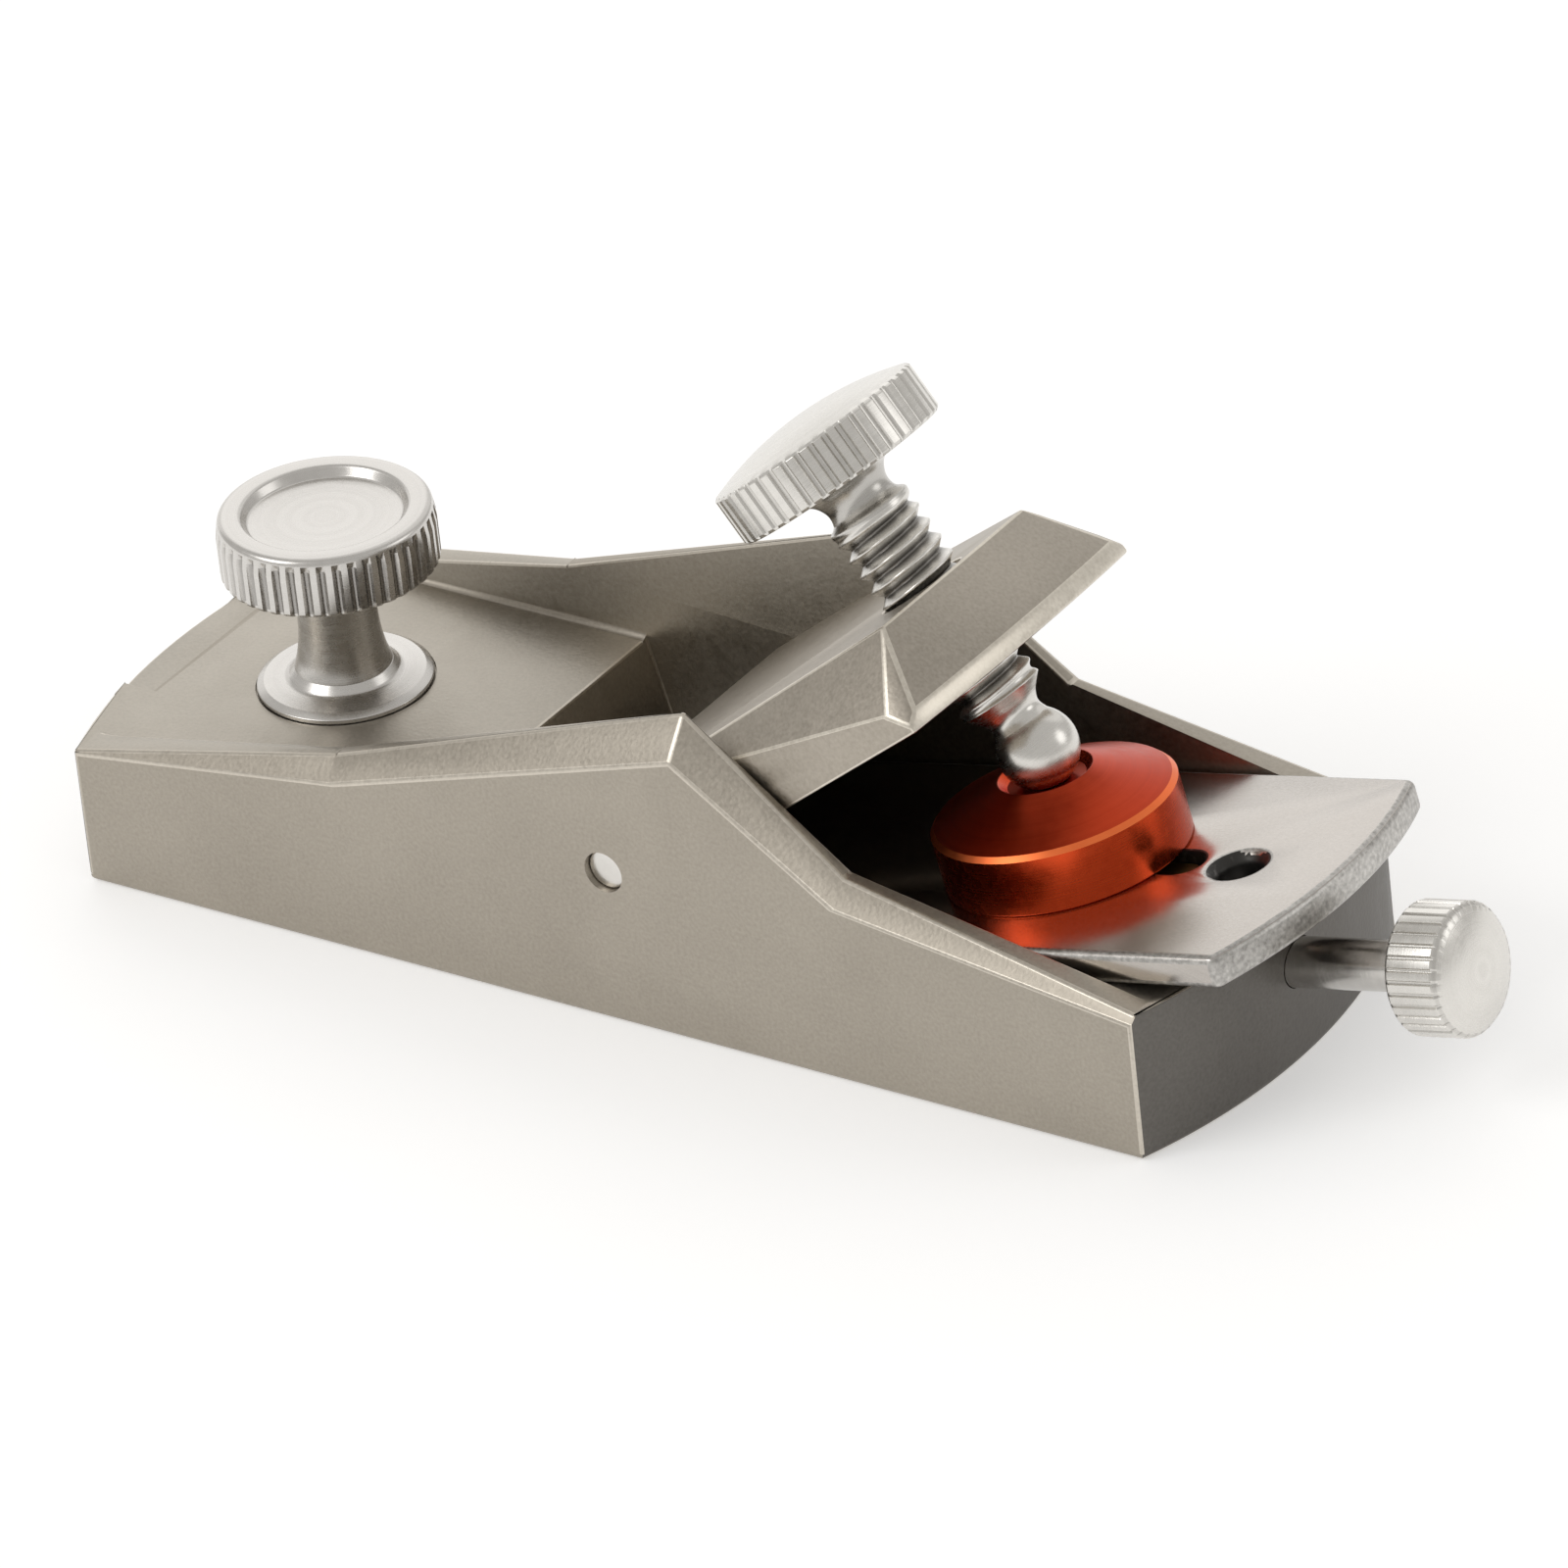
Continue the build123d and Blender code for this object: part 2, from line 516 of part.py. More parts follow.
# ---- clamp screw: ball, threaded stem and domed knob in one turned piece -------------------------------
dome_radius = sagitta_radius(KNOB_RADIUS, KNOB_DOME)
rim_top = KNOB_UNDERSIDE + KNOB_RIM
thread_root = SCREW_RADIUS - SCREW_GROOVE
with BuildPart() as clamp_screw:
    with BuildSketch(screw_plane.offset(KNOB_UNDERSIDE)):
        Circle(KNOB_RADIUS)
        with PolarLocations(KNOB_RADIUS, KNOB_FLUTES):
            Circle(FLUTE_RADIUS, mode=Mode.SUBTRACT)
    extrude(amount=KNOB_RIM + KNOB_DOME)
    with BuildSketch(screw_side):
        with BuildLine():
            dome = ThreePointArc(
                (KNOB_RADIUS, rim_top),
                (dome_radius * sin(radians(15)), rim_top + KNOB_DOME - dome_radius * (1 - cos(radians(15)))),
                (0, rim_top + KNOB_DOME),
            )
            Polyline(dome @ 1, (0, KNOB_UNDERSIDE), (KNOB_RADIUS, KNOB_UNDERSIDE), dome @ 0)
        make_face()
    revolve(axis=screw_axis, mode=Mode.INTERSECT)
    with BuildSketch(screw_side):
        with BuildLine():
            throat_half = sqrt(BALL_RADIUS**2 - (WAIST_HEIGHT - 1) ** 2)
            ball_arc = ThreePointArc((0, -BALL_RADIUS), (BALL_RADIUS, 0), (throat_half, WAIST_HEIGHT - 1))
            waist = Spline(
                ball_arc @ 1,
                (WAIST_RADIUS, WAIST_HEIGHT + 0.4),
                (thread_root, SCREW_START - 0.4),
                (SCREW_RADIUS, SCREW_START),
            )
            stem = Line(waist @ 1, (SCREW_RADIUS, SCREW_END))
            cove = Spline(
                stem @ 1,
                (COVE_RADIUS, (SCREW_END + COVE_HEIGHT) / 2 + 0.4),
                (COVE_RADIUS, COVE_HEIGHT),
                (SCREW_RADIUS + 1, KNOB_UNDERSIDE),
            )
            Polyline(cove @ 1, (SCREW_RADIUS, rim_top), (0, rim_top), ball_arc @ 0)
        make_face()
    revolve(axis=screw_axis)
    turns = int((SCREW_END - SCREW_START) / SCREW_PITCH)
    with BuildSketch(screw_side):
        for turn in range(turns):
            height = SCREW_START + (turn + 1) * SCREW_PITCH - SCREW_PITCH / 2
            with BuildLine():
                Polyline(
                    (SCREW_RADIUS + SCREW_GROOVE, height + SCREW_PITCH * 0.8),
                    (thread_root, height),
                    (SCREW_RADIUS + SCREW_GROOVE, height - SCREW_PITCH * 0.8),
                    close=True,
                )
            make_face()
    revolve(axis=screw_axis, mode=Mode.SUBTRACT)

clamp_screw.part.label = "clamp_screw"
export_step(clamp_screw.part, "parts/clamp_screw.step")

# ---- blade ---------------------------------------------------------------------------------------------
with BuildPart() as blade:
    with BuildSketch(bed_plane) as outline:
        with BuildLine():
            blade_half = BLADE_WIDTH / 2
            blank_front = BLADE_SETBACK - 2 * BLADE_EDGE_BREAK
            tail = BLADE_SETBACK + BLADE_LENGTH
            near_edge = Line((blank_front, -blade_half), (tail - BLADE_BULGE, -blade_half))
            tail_arc = ThreePointArc(near_edge @ 1, (tail, 0), (tail - BLADE_BULGE, blade_half))
            Polyline(tail_arc @ 1, (blank_front, blade_half), near_edge @ 0)
        make_face()
        fillet(outline.vertices().group_by(Axis.X)[-1], BLADE_CORNER)
        with Locations((SLOT_END - SLOT_LENGTH / 2, 0)):
            SlotOverall(SLOT_LENGTH, SLOT_WIDTH, mode=Mode.SUBTRACT)
        with Locations((BLADE_HOLE_PLACE, 0)):
            Circle(BLADE_HOLE_RADIUS, mode=Mode.SUBTRACT)
    extrude(amount=BLADE_THICKNESS)
    bed_normal = Axis(bed_plane.origin, bed_plane.z_dir)
    bottom, top = blade.faces().filter_by(bed_plane).sort_by(bed_normal)
    chamfer(bottom.outer_wire().edges() + top.outer_wire().edges(), BLADE_EDGE_BREAK)
    with BuildSketch(bed_plane.offset(BLADE_THICKNESS)):
        with Locations((BLADE_HOLE_PLACE, 0)):
            Circle(BLADE_HOLE_COUNTERSINK)
    extrude(amount=BLADE_HOLE_RADIUS - BLADE_HOLE_COUNTERSINK, taper=45, mode=Mode.SUBTRACT)
    with BuildSketch(bed_side):
        with BuildLine():
            grind_run = BLADE_THICKNESS / tan(radians(GRIND_ANGLE))
            Polyline(
                (BLADE_SETBACK, -1),
                (BLADE_SETBACK, 0),
                (BLADE_SETBACK + grind_run, BLADE_THICKNESS),
                (BLADE_SETBACK + grind_run, BLADE_THICKNESS + 1),
                (blank_front - 1, BLADE_THICKNESS + 1),
                (blank_front - 1, -1),
                close=True,
            )
        make_face()
    extrude(amount=BLADE_WIDTH, both=True, mode=Mode.SUBTRACT)

blade.part.label = "blade"
export_step(blade.part, "parts/blade.step")

# ---- carriage and its drive dog ------------------------------------------------------------------------
with BuildPart() as adjuster_carriage:
    with BuildSketch(bed_plane.offset(-POCKET_DEPTH + CARRIAGE_TOP / 2)):
        with Locations((CARRIAGE_FRONT + CARRIAGE_LENGTH / 2, 0)):
            Rectangle(CARRIAGE_LENGTH, 2 * CARRIAGE_HALF_WIDTH)
    extrude(amount=POCKET_DEPTH - CARRIAGE_TOP * 1.5)
    with BuildSketch(across_adjuster(CARRIAGE_FRONT - 1)):
        Circle(ADJUSTER_THREAD + RUNNING_FIT)
    extrude(amount=CARRIAGE_LENGTH + 2, mode=Mode.SUBTRACT)
    with BuildSketch(bed_plane.offset(-CARRIAGE_TOP - DOG_PIN_LENGTH)):
        with Locations((DOG_FRONT + DOG_LENGTH / 2, 0)):
            Circle(DOG_PIN_RADIUS + FIXED_FIT)
    extrude(amount=DOG_PIN_LENGTH + 1, mode=Mode.SUBTRACT)

adjuster_carriage.part.label = "adjuster_carriage"
export_step(adjuster_carriage.part, "parts/adjuster_carriage.step")

with BuildPart() as drive_dog:
    with BuildSketch(bed_plane.offset(-CARRIAGE_TOP)):
        with Locations((DOG_FRONT + DOG_LENGTH / 2, 0)):
            SlotOverall(DOG_LENGTH, DOG_WIDTH)
    extrude(amount=DOG_HEIGHT + CARRIAGE_TOP)
    with BuildSketch(bed_plane.offset(-CARRIAGE_TOP - DOG_PIN_LENGTH)):
        with Locations((DOG_FRONT + DOG_LENGTH / 2, 0)):
            Circle(DOG_PIN_RADIUS)
    extrude(amount=DOG_PIN_LENGTH + DOG_HEIGHT)

drive_dog.part.label = "drive_dog"
export_step(drive_dog.part, "parts/drive_dog.step")

# ---- adjuster screw, its fork, its knob and the grub screw ---------------------------------------------
neck_front = POCKET_REAR - 2 * FORK_PLAY
neck_rear = POCKET_REAR + FORK_THICKNESS + 4 * FORK_PLAY
shaft_end = ADJUSTER_KNOB_FRONT + ADJUSTER_KNOB_BORE
with BuildPart() as adjuster_screw:
    with BuildSketch(adjuster_side):
        with BuildLine():
            Polyline(
                (ADJUSTER_FRONT, 0),
                (ADJUSTER_FRONT, ADJUSTER_THREAD - ADJUSTER_PITCH / 2),
                (ADJUSTER_FRONT + ADJUSTER_PITCH / 2, ADJUSTER_THREAD),
                (neck_front, ADJUSTER_THREAD),
                (neck_front, ADJUSTER_NECK),
                (neck_rear, ADJUSTER_NECK),
                (neck_rear, ADJUSTER_SHAFT),
                (shaft_end, ADJUSTER_SHAFT),
                (shaft_end, 0),
                close=True,
            )
        make_face()
    revolve(axis=adjuster_axis)

adjuster_screw.part.label = "adjuster_screw"
export_step(adjuster_screw.part, "parts/adjuster_screw.step")

with BuildPart() as adjuster_fork:
    with BuildSketch(across_adjuster(POCKET_REAR + FORK_PLAY)):
        Rectangle(2 * FORK_HALF_WIDTH, 2 * POCKET_DEPTH)
        Circle(ADJUSTER_NECK + RUNNING_FIT, mode=Mode.SUBTRACT)
        with Locations((0, -FORK_HALF_WIDTH)):
            Rectangle(2 * (ADJUSTER_NECK + RUNNING_FIT), 2 * FORK_HALF_WIDTH, mode=Mode.SUBTRACT)
    extrude(amount=FORK_THICKNESS)
    split(bisect_by=bed_plane.offset(-CARRIAGE_TOP), keep=Keep.BOTTOM)
    split(bisect_by=bed_plane.offset(FORK_PLAY - POCKET_DEPTH), keep=Keep.TOP)
    split(bisect_by=Plane.XY.offset(HEEL_HEIGHT - FORK_PLAY), keep=Keep.BOTTOM)

adjuster_fork.part.label = "adjuster_fork"
export_step(adjuster_fork.part, "parts/adjuster_fork.step")

knob_back = ADJUSTER_KNOB_FRONT + ADJUSTER_KNOB_LENGTH
grub_plane = bed_plane.offset(-ADJUSTER_DEPTH - ADJUSTER_KNOB_RADIUS)
with BuildPart() as adjuster_knob:
    with BuildSketch(across_adjuster(ADJUSTER_KNOB_FRONT)):
        Circle(ADJUSTER_KNOB_RADIUS)
        with PolarLocations(ADJUSTER_KNOB_RADIUS, ADJUSTER_FLUTES):
            Circle(ADJUSTER_FLUTE_RADIUS, mode=Mode.SUBTRACT)
    extrude(amount=ADJUSTER_KNOB_LENGTH + ADJUSTER_KNOB_DOME)
    with BuildSketch(adjuster_side):
        with BuildLine():
            crown = Spline(
                (knob_back - ADJUSTER_KNOB_DOME / 2, ADJUSTER_KNOB_RADIUS),
                (knob_back, ADJUSTER_KNOB_RADIUS - ADJUSTER_KNOB_DOME / 2),
                (knob_back + ADJUSTER_KNOB_DOME, 0),
                tangents=((1, 0), (0, -1)),
            )
            Polyline(
                crown @ 1,
                (ADJUSTER_KNOB_FRONT, 0),
                (ADJUSTER_KNOB_FRONT, ADJUSTER_KNOB_RADIUS),
                crown @ 0,
            )
        make_face()
    revolve(axis=adjuster_axis, mode=Mode.INTERSECT)
    with BuildSketch(across_adjuster(ADJUSTER_KNOB_FRONT)):
        Circle(ADJUSTER_SHAFT + FIXED_FIT)
    extrude(amount=ADJUSTER_KNOB_BORE + FIXED_FIT, mode=Mode.SUBTRACT)
    with BuildSketch(grub_plane):
        with Locations((ADJUSTER_KNOB_FRONT + GRUB_PLACE, 0)):
            Circle(GRUB_RADIUS + FIXED_FIT)
    extrude(amount=ADJUSTER_KNOB_RADIUS, mode=Mode.SUBTRACT)

adjuster_knob.part.label = "adjuster_knob"
export_step(adjuster_knob.part, "parts/adjuster_knob.step")

with BuildPart() as knob_grub_screw:
    with BuildSketch(grub_plane.offset(GRUB_SEAT)):
        with Locations((ADJUSTER_KNOB_FRONT + GRUB_PLACE, 0)):
            Circle(GRUB_RADIUS)
            RegularPolygon(GRUB_RADIUS / 2, 6, mode=Mode.SUBTRACT)
    extrude(amount=GRUB_RADIUS)
    with BuildSketch(grub_plane.offset(GRUB_SEAT + GRUB_RADIUS)):
        with Locations((ADJUSTER_KNOB_FRONT + GRUB_PLACE, 0)):
            Circle(GRUB_RADIUS)
    extrude(amount=ADJUSTER_KNOB_RADIUS - ADJUSTER_SHAFT - GRUB_SEAT - GRUB_RADIUS - FIXED_FIT)

knob_grub_screw.part.label = "knob_grub_screw"
export_step(knob_grub_screw.part, "parts/knob_grub_screw.step")
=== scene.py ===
"""Looks of a low-angle block plane: blasted, turned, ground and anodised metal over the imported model.

Sizes of pieces are in millimetres and places are in metres, in the model's own frame: +X runs from the toe
to the heel, +Z up from the sole.
"""
import json
import logging
from dataclasses import dataclass, field
from enum import Enum
from math import cos, pi, radians, sin, sqrt
from typing import Any, Callable, List, Mapping, Optional, Sequence, Tuple, Union

import bmesh
import bpy
from mathutils import Matrix, Vector
from mathutils.bvhtree import BVHTree


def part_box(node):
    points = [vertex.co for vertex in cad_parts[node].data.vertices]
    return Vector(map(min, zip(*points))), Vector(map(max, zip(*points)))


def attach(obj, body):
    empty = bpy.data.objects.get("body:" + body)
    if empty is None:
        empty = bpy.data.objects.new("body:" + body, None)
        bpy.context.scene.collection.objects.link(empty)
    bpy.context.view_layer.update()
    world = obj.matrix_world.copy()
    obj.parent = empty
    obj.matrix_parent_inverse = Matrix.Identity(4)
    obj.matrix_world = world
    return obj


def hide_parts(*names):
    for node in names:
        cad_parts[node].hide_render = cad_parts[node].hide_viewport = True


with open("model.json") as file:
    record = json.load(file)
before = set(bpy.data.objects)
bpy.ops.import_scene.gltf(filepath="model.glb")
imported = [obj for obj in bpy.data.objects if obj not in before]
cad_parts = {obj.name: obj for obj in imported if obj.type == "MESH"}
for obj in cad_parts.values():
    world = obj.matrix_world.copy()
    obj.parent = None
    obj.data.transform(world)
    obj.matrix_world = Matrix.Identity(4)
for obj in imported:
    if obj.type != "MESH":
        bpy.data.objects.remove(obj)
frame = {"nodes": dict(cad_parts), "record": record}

LOG = logging.getLogger("block_plane")
MM = 0.001
PAINTED_GROOVE_SHADE = (0.06, 0.052, 0.045)  # painted shade at the bottom of a groove
GROOVE_BLUR = 0.02 * MM  # how softly the painted shade in a groove ends
GROOVE_LIP = 0.15  # share of a groove's depth, from the rim, that stays free of painted shade
THREAD_ROWS = 20  # rings of points to each turn of a thread
THREAD_ROOT = 0.92  # share of the pitch that is cut into, at the crest
THREAD_FLANK = 0.84  # share of the pitch that the two flanks take
WELD = 2e-7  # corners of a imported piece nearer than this, in metres, are one corner
FLAT = 0.4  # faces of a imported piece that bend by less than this, in degrees, are one face
STRAY = 0.6  # an edge break further off the surface than this share of its width is a fault
BREAK_CREASE = 28.0  # edges of an edge break that bend by more than this, in degrees, stay sharp
Colour = Tuple[float, float, float]
Point = Tuple[float, float]


class Body(Enum):
    """The rigid bodies that pieces ride on."""

    STOCK = "body"
    CAP = "cap"
    DISC = "disc"
    CLAMP = "clamp"
    IRON = "iron"
    ADJUSTER = "adjuster"


class Hand(Enum):
    """The hand of a screw thread."""

    RIGHT = 1
    LEFT = -1


# ---- shader maths --------------------------------------------------------------------------------------
class Field:
    """A value that varies over a surface: an output socket that adds Math nodes when used in sums."""

    def __init__(self, shader: "Shader", socket: bpy.types.NodeSocket) -> None:
        """Wraps a socket of a shader.

        Args:
            shader: the shader that the socket belongs to.
            socket: the output socket.
        """
        self.shader = shader
        self.socket = socket

    def _math(self, operation: str, *terms: "Value") -> "Field":
        """Adds one Math node.

        Args:
            operation: the Math node's operation.
            terms: its inputs, in order.

        Returns:
            The node's result.
        """
        return self.shader.node("ShaderNodeMath", {"operation": operation}, dict(enumerate(terms)))

    def __add__(self, other: "Value") -> "Field":
        """Returns self + other."""
        return self._math("ADD", self, other)

    __radd__ = __add__

    def __sub__(self, other: "Value") -> "Field":
        """Returns self - other."""
        return self._math("SUBTRACT", self, other)

    def __rsub__(self, other: "Value") -> "Field":
        """Returns other - self."""
        return self._math("SUBTRACT", other, self)

    def __mul__(self, other: "Value") -> "Field":
        """Returns self * other."""
        return self._math("MULTIPLY", self, other)

    __rmul__ = __mul__

    def __pow__(self, other: "Value") -> "Field":
        """Returns self to the power of other."""
        return self._math("POWER", self, other)

    def __abs__(self) -> "Field":
        """Returns the size of self without its sign."""
        return self._math("ABSOLUTE", self)

    def step(self, low: float, high: float) -> "Field":
        """Rises smoothly from 0 at low to 1 at high, or falls where low is above high.

        Args:
            low: the value that gives 0.
            high: the value that gives 1.

        Returns:
            The smooth step.
        """
        settings = {"interpolation_type": "SMOOTHSTEP"}
        ends = (low, high, 0.0, 1.0) if low < high else (high, low, 1.0, 0.0)
        return self.shader.node("ShaderNodeMapRange", settings, dict(enumerate((self, *ends))))


Value = Union[float, Field]


class Shader:
    """Builds the node tree of one material."""

    def __init__(self, name: str) -> None:
        """Makes an empty material.

        Args:
            name: the material's name.
        """
        self.material = bpy.data.materials.new(name)
        self.material.use_nodes = True
        self.tree = self.material.node_tree
        self.tree.nodes.clear()

    def node(
        self,
        kind: str,
        settings: Mapping[str, Any],
        values: Mapping[Union[int, str], Any],
        output: Union[int, str] = 0,
    ) -> Field:
        """Adds a node of any type.

        Args:
            kind: the node's type.
            settings: its properties, set first.
            values: its inputs, by name or number, as values or as fields to link.
            output: the output to return, by name or number.

        Returns:
            The chosen output.
        """
        made = self.tree.nodes.new(kind)
        for name, setting in settings.items():
            setattr(made, name, setting)
        for key, value in values.items():
            if isinstance(value, Field):
                self.tree.links.new(value.socket, made.inputs[key])
            else:
                made.inputs[key].default_value = value
        return Field(self, made.outputs[output])

    def place(self) -> Field:
        """Returns the point on the piece, in metres, as it lies at rest."""
        return self.node("ShaderNodeTexCoord", {}, {}, "Object")

    def noise(self, where: Field, scale: float, detail: float = 2.0, distortion: float = 0.0) -> Field:
        """Adds a noise texture.

        Args:
            where: the point that it is read at.
            scale: how many features there are to a metre.
            detail: how many finer layers it has.
            distortion: how far it is bent.

        Returns:
            The noise, mostly between 0.3 and 0.7.
        """
        values = {"Vector": where, "Scale": scale, "Detail": detail, "Distortion": distortion}
        return self.node("ShaderNodeTexNoise", {}, values)

    def stretched(self, where: Field, scale: Tuple[float, float, float], turn: float = 0.0) -> Field:
        """Scales a point differently along each axis, after a turn about Y.

        Args:
            where: the point.
            scale: the three scales.
            turn: the turn about Y, in radians.

        Returns:
            The scaled point.
        """
        settings = {"vector_type": "POINT"}
        turned = self.node("ShaderNodeMapping", settings, {0: where, 2: (0.0, turn, 0.0)})
        return self.node("ShaderNodeMapping", settings, {0: turned, 3: scale})

    def mix(self, amount: Value, first: Any, second: Any) -> Field:
        """Mixes two colours.

        Args:
            amount: how much of the second there is.
            first: a colour or a field.
            second: a colour or a field.

        Returns:
            The mixed colour.
        """
        ends = [(*end, 1.0) if isinstance(end, tuple) else end for end in (first, second)]
        settings = {"data_type": "RGBA", "clamp_factor": True}
        return self.node("ShaderNodeMix", settings, {0: amount, 6: ends[0], 7: ends[1]}, 2)

    def bump(self, height: Field, depth: float, strength: float = 1.0) -> Field:
        """Turns a height from 0 to 1 into a normal.

        Args:
            height: the height.
            depth: what a height of 1 is, in metres.
            strength: how much of the effect is kept.

        Returns:
            The bumped normal.
        """
        values = {"Height": height, "Distance": depth, "Strength": strength}
        return self.node("ShaderNodeBump", {}, values, "Normal")

    def finish(self, metallic: float, **sockets: Any) -> bpy.types.Material:
        """Ends the tree with a Principled shader.

        Args:
            metallic: 1 for bare metal.
            sockets: the other inputs, with underscores for spaces.

        Returns:
            The material.
        """
        values = {name.replace("_", " "): value for name, value in sockets.items()}
        values["Metallic"] = metallic
        surface = self.node("ShaderNodeBsdfPrincipled", {}, values)
        end = self.tree.nodes.new("ShaderNodeOutputMaterial")
        self.tree.links.new(surface.socket, end.inputs["Surface"])
        return self.material


# ---- places --------------------------------------------------------------------------------------------
@dataclass(frozen=True)
class Axle:
    """A line that a piece is turned about.

    Attributes:
        origin: a point on it, in metres.
        direction: its direction, of length 1.
    """

    origin: Vector
    direction: Vector

    @staticmethod
    def of_joint(name: str) -> "Axle":
        """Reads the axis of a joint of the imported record.

        Args:
            name: the joint's name.

        Returns:
            The axis, through the origin where a slide has no place.
        """
        joint = next(j for j in frame["record"]["behaviour"]["joints"] if j["name"] == name)
        return Axle(Vector(joint.get("pos_m", (0, 0, 0))), Vector(joint["axis"]).normalized())

    def matrix(self) -> Matrix:
        """Returns the turn and move that carry +Z to this axis, with +Y left as it is."""
        side = Vector((0, 1, 0)) if abs(self.direction.y) < 0.5 else Vector((1, 0, 0))
        across = side.cross(self.direction).normalized()
        side = self.direction.cross(across).normalized()
        turn = Matrix((across, side, self.direction)).transposed()
        return Matrix.Translation(self.origin) @ turn.to_4x4()

    def point(self, along: float) -> Vector:
        """Returns the point at a distance in metres along it."""
        return self.origin + self.direction * along


# ---- finishes ------------------------------------------------------------------------------------------
@dataclass(frozen=True)
class Blasted:
    """Bead-blasted metal: a fine even grit with faint clouds and handling marks.

    Attributes:
        name: the material's name.
        light: the colour of the raised grains.
        dark: the colour between them.
        roughness: how dull it is.
        grit: grains to a metre.
        pit: depth of the grit, in metres.
    """

    name: str
    light: Colour
    dark: Colour
    roughness: float
    grit: float = 2400.0
    pit: float = 0.00004

    def material(self) -> bpy.types.Material:
        """Returns the material."""
        s = Shader(self.name)
        where = s.place()
        grains = s.noise(where, self.grit, 3.0)
        specks = s.node("ShaderNodeTexVoronoi", {}, {"Vector": where, "Scale": self.grit * 0.7})
        clouds = s.noise(where, 55.0, 3.0, 0.6)
        rubs = s.noise(where, 260.0, 4.0, 1.2)
        shade = (grains - 0.5) * 1.5 + (clouds - 0.5) * 0.7 + (rubs - 0.5) * 0.45 + 0.5
        colour = s.mix(shade, self.dark, self.light)
        height = grains * 0.7 + specks * 0.5
        return s.finish(
            1.0,
            Base_Color=colour,
            Roughness=self.roughness + (rubs - 0.5) * 0.14 + (grains - 0.5) * 0.2,
            Normal=s.bump(height, self.pit, 0.6),
        )


@dataclass(frozen=True)
class Groove:
    """A band of a turned piece whose recesses get painted shade, darkest at the bottoms of flutes and
    threads.

    Attributes:
        inner: the radius, in metres, where it is darkest.
        outer: the radius, in metres, where it is bright.
        low: the height, in metres from the origin, where the band begins.
        high: the height, in metres from the origin, where it ends.
        painted_shade: how far its painted shade darkens the recesses.
    """

    inner: float
    outer: float
    low: float
    high: float
    painted_shade: float

    @staticmethod
    def of(rim: float, depth: float, low: float, high: float, painted_shade: float) -> "Groove":
        """Returns the band for grooves given in millimetres.

        Args:
            rim: the rim's radius.
            depth: the grooves' depth.
            low: the height where the band begins.
            high: the height where it ends.
            painted_shade: how far its painted shade darkens the recesses.
        """
        bright = rim - depth * GROOVE_LIP
        return Groove((rim - depth) * MM, bright * MM, low * MM, high * MM, painted_shade)


@dataclass(frozen=True)
class Turned:
    """Metal turned on a lathe: fine rings round an axis, with a soft change of tone.

    Attributes:
        name: the material's name.
        colour: the metal's colour.
        shadow: the colour of its darker rings.
        roughness: how dull it is.
        axle: the axis that it was turned about.
        rings: tool marks to a metre.
        depth: depth of the marks, in metres.
        grooves: the bands whose recesses get painted shade.
    """

    name: str
    colour: Colour
    shadow: Colour
    roughness: float
    axle: Axle
    rings: float = 9000.0
    depth: float = 0.000008
    grooves: Tuple[Groove, ...] = ()

    def material(self) -> bpy.types.Material:
        """Returns the material."""
        s = Shader(self.name)
        where = s.place()
        less, dot = {"operation": "SUBTRACT"}, {"operation": "DOT_PRODUCT"}
        arm = s.node("ShaderNodeVectorMath", less, {0: where, 1: tuple(self.axle.origin)})
        height = s.node("ShaderNodeVectorMath", dot, {0: arm, 1: tuple(self.axle.direction)}, "Value")
        reach = s.node("ShaderNodeVectorMath", {"operation": "LENGTH"}, {0: arm}, "Value")
        radius = abs(reach * reach - height * height) ** 0.5
        line = s.node("ShaderNodeCombineXYZ", {}, {0: height, 1: radius, 2: 0.0})
        marks = s.noise(line, self.rings, 2.0)
        bands = s.noise(line, self.rings * 0.12, 2.0)
        dust = s.noise(where, 900.0, 3.0)
        shade = (bands - 0.5) * 0.7 + (marks - 0.5) * 0.6 + (dust - 0.5) * 0.5 + 0.5
        colour = s.mix(shade, self.shadow, self.colour)
        # painted shade: each groove band darkens the recesses of its flutes or thread
        for groove in self.grooves:
            above = height.step(groove.low - GROOVE_BLUR, groove.low + GROOVE_BLUR)
            below = height.step(groove.high + GROOVE_BLUR, groove.high - GROOVE_BLUR)
            shaded_recess = radius.step(groove.outer, groove.inner) * (above * below)
            colour = s.mix(shaded_recess * groove.painted_shade, colour, PAINTED_GROOVE_SHADE)
        return s.finish(
            1.0,
            Base_Color=colour,
            Roughness=self.roughness + (marks - 0.5) * 0.12 + (dust - 0.5) * 0.16,
            Normal=s.bump(marks * 0.8 + bands * 0.4, self.depth, 0.8),
        )


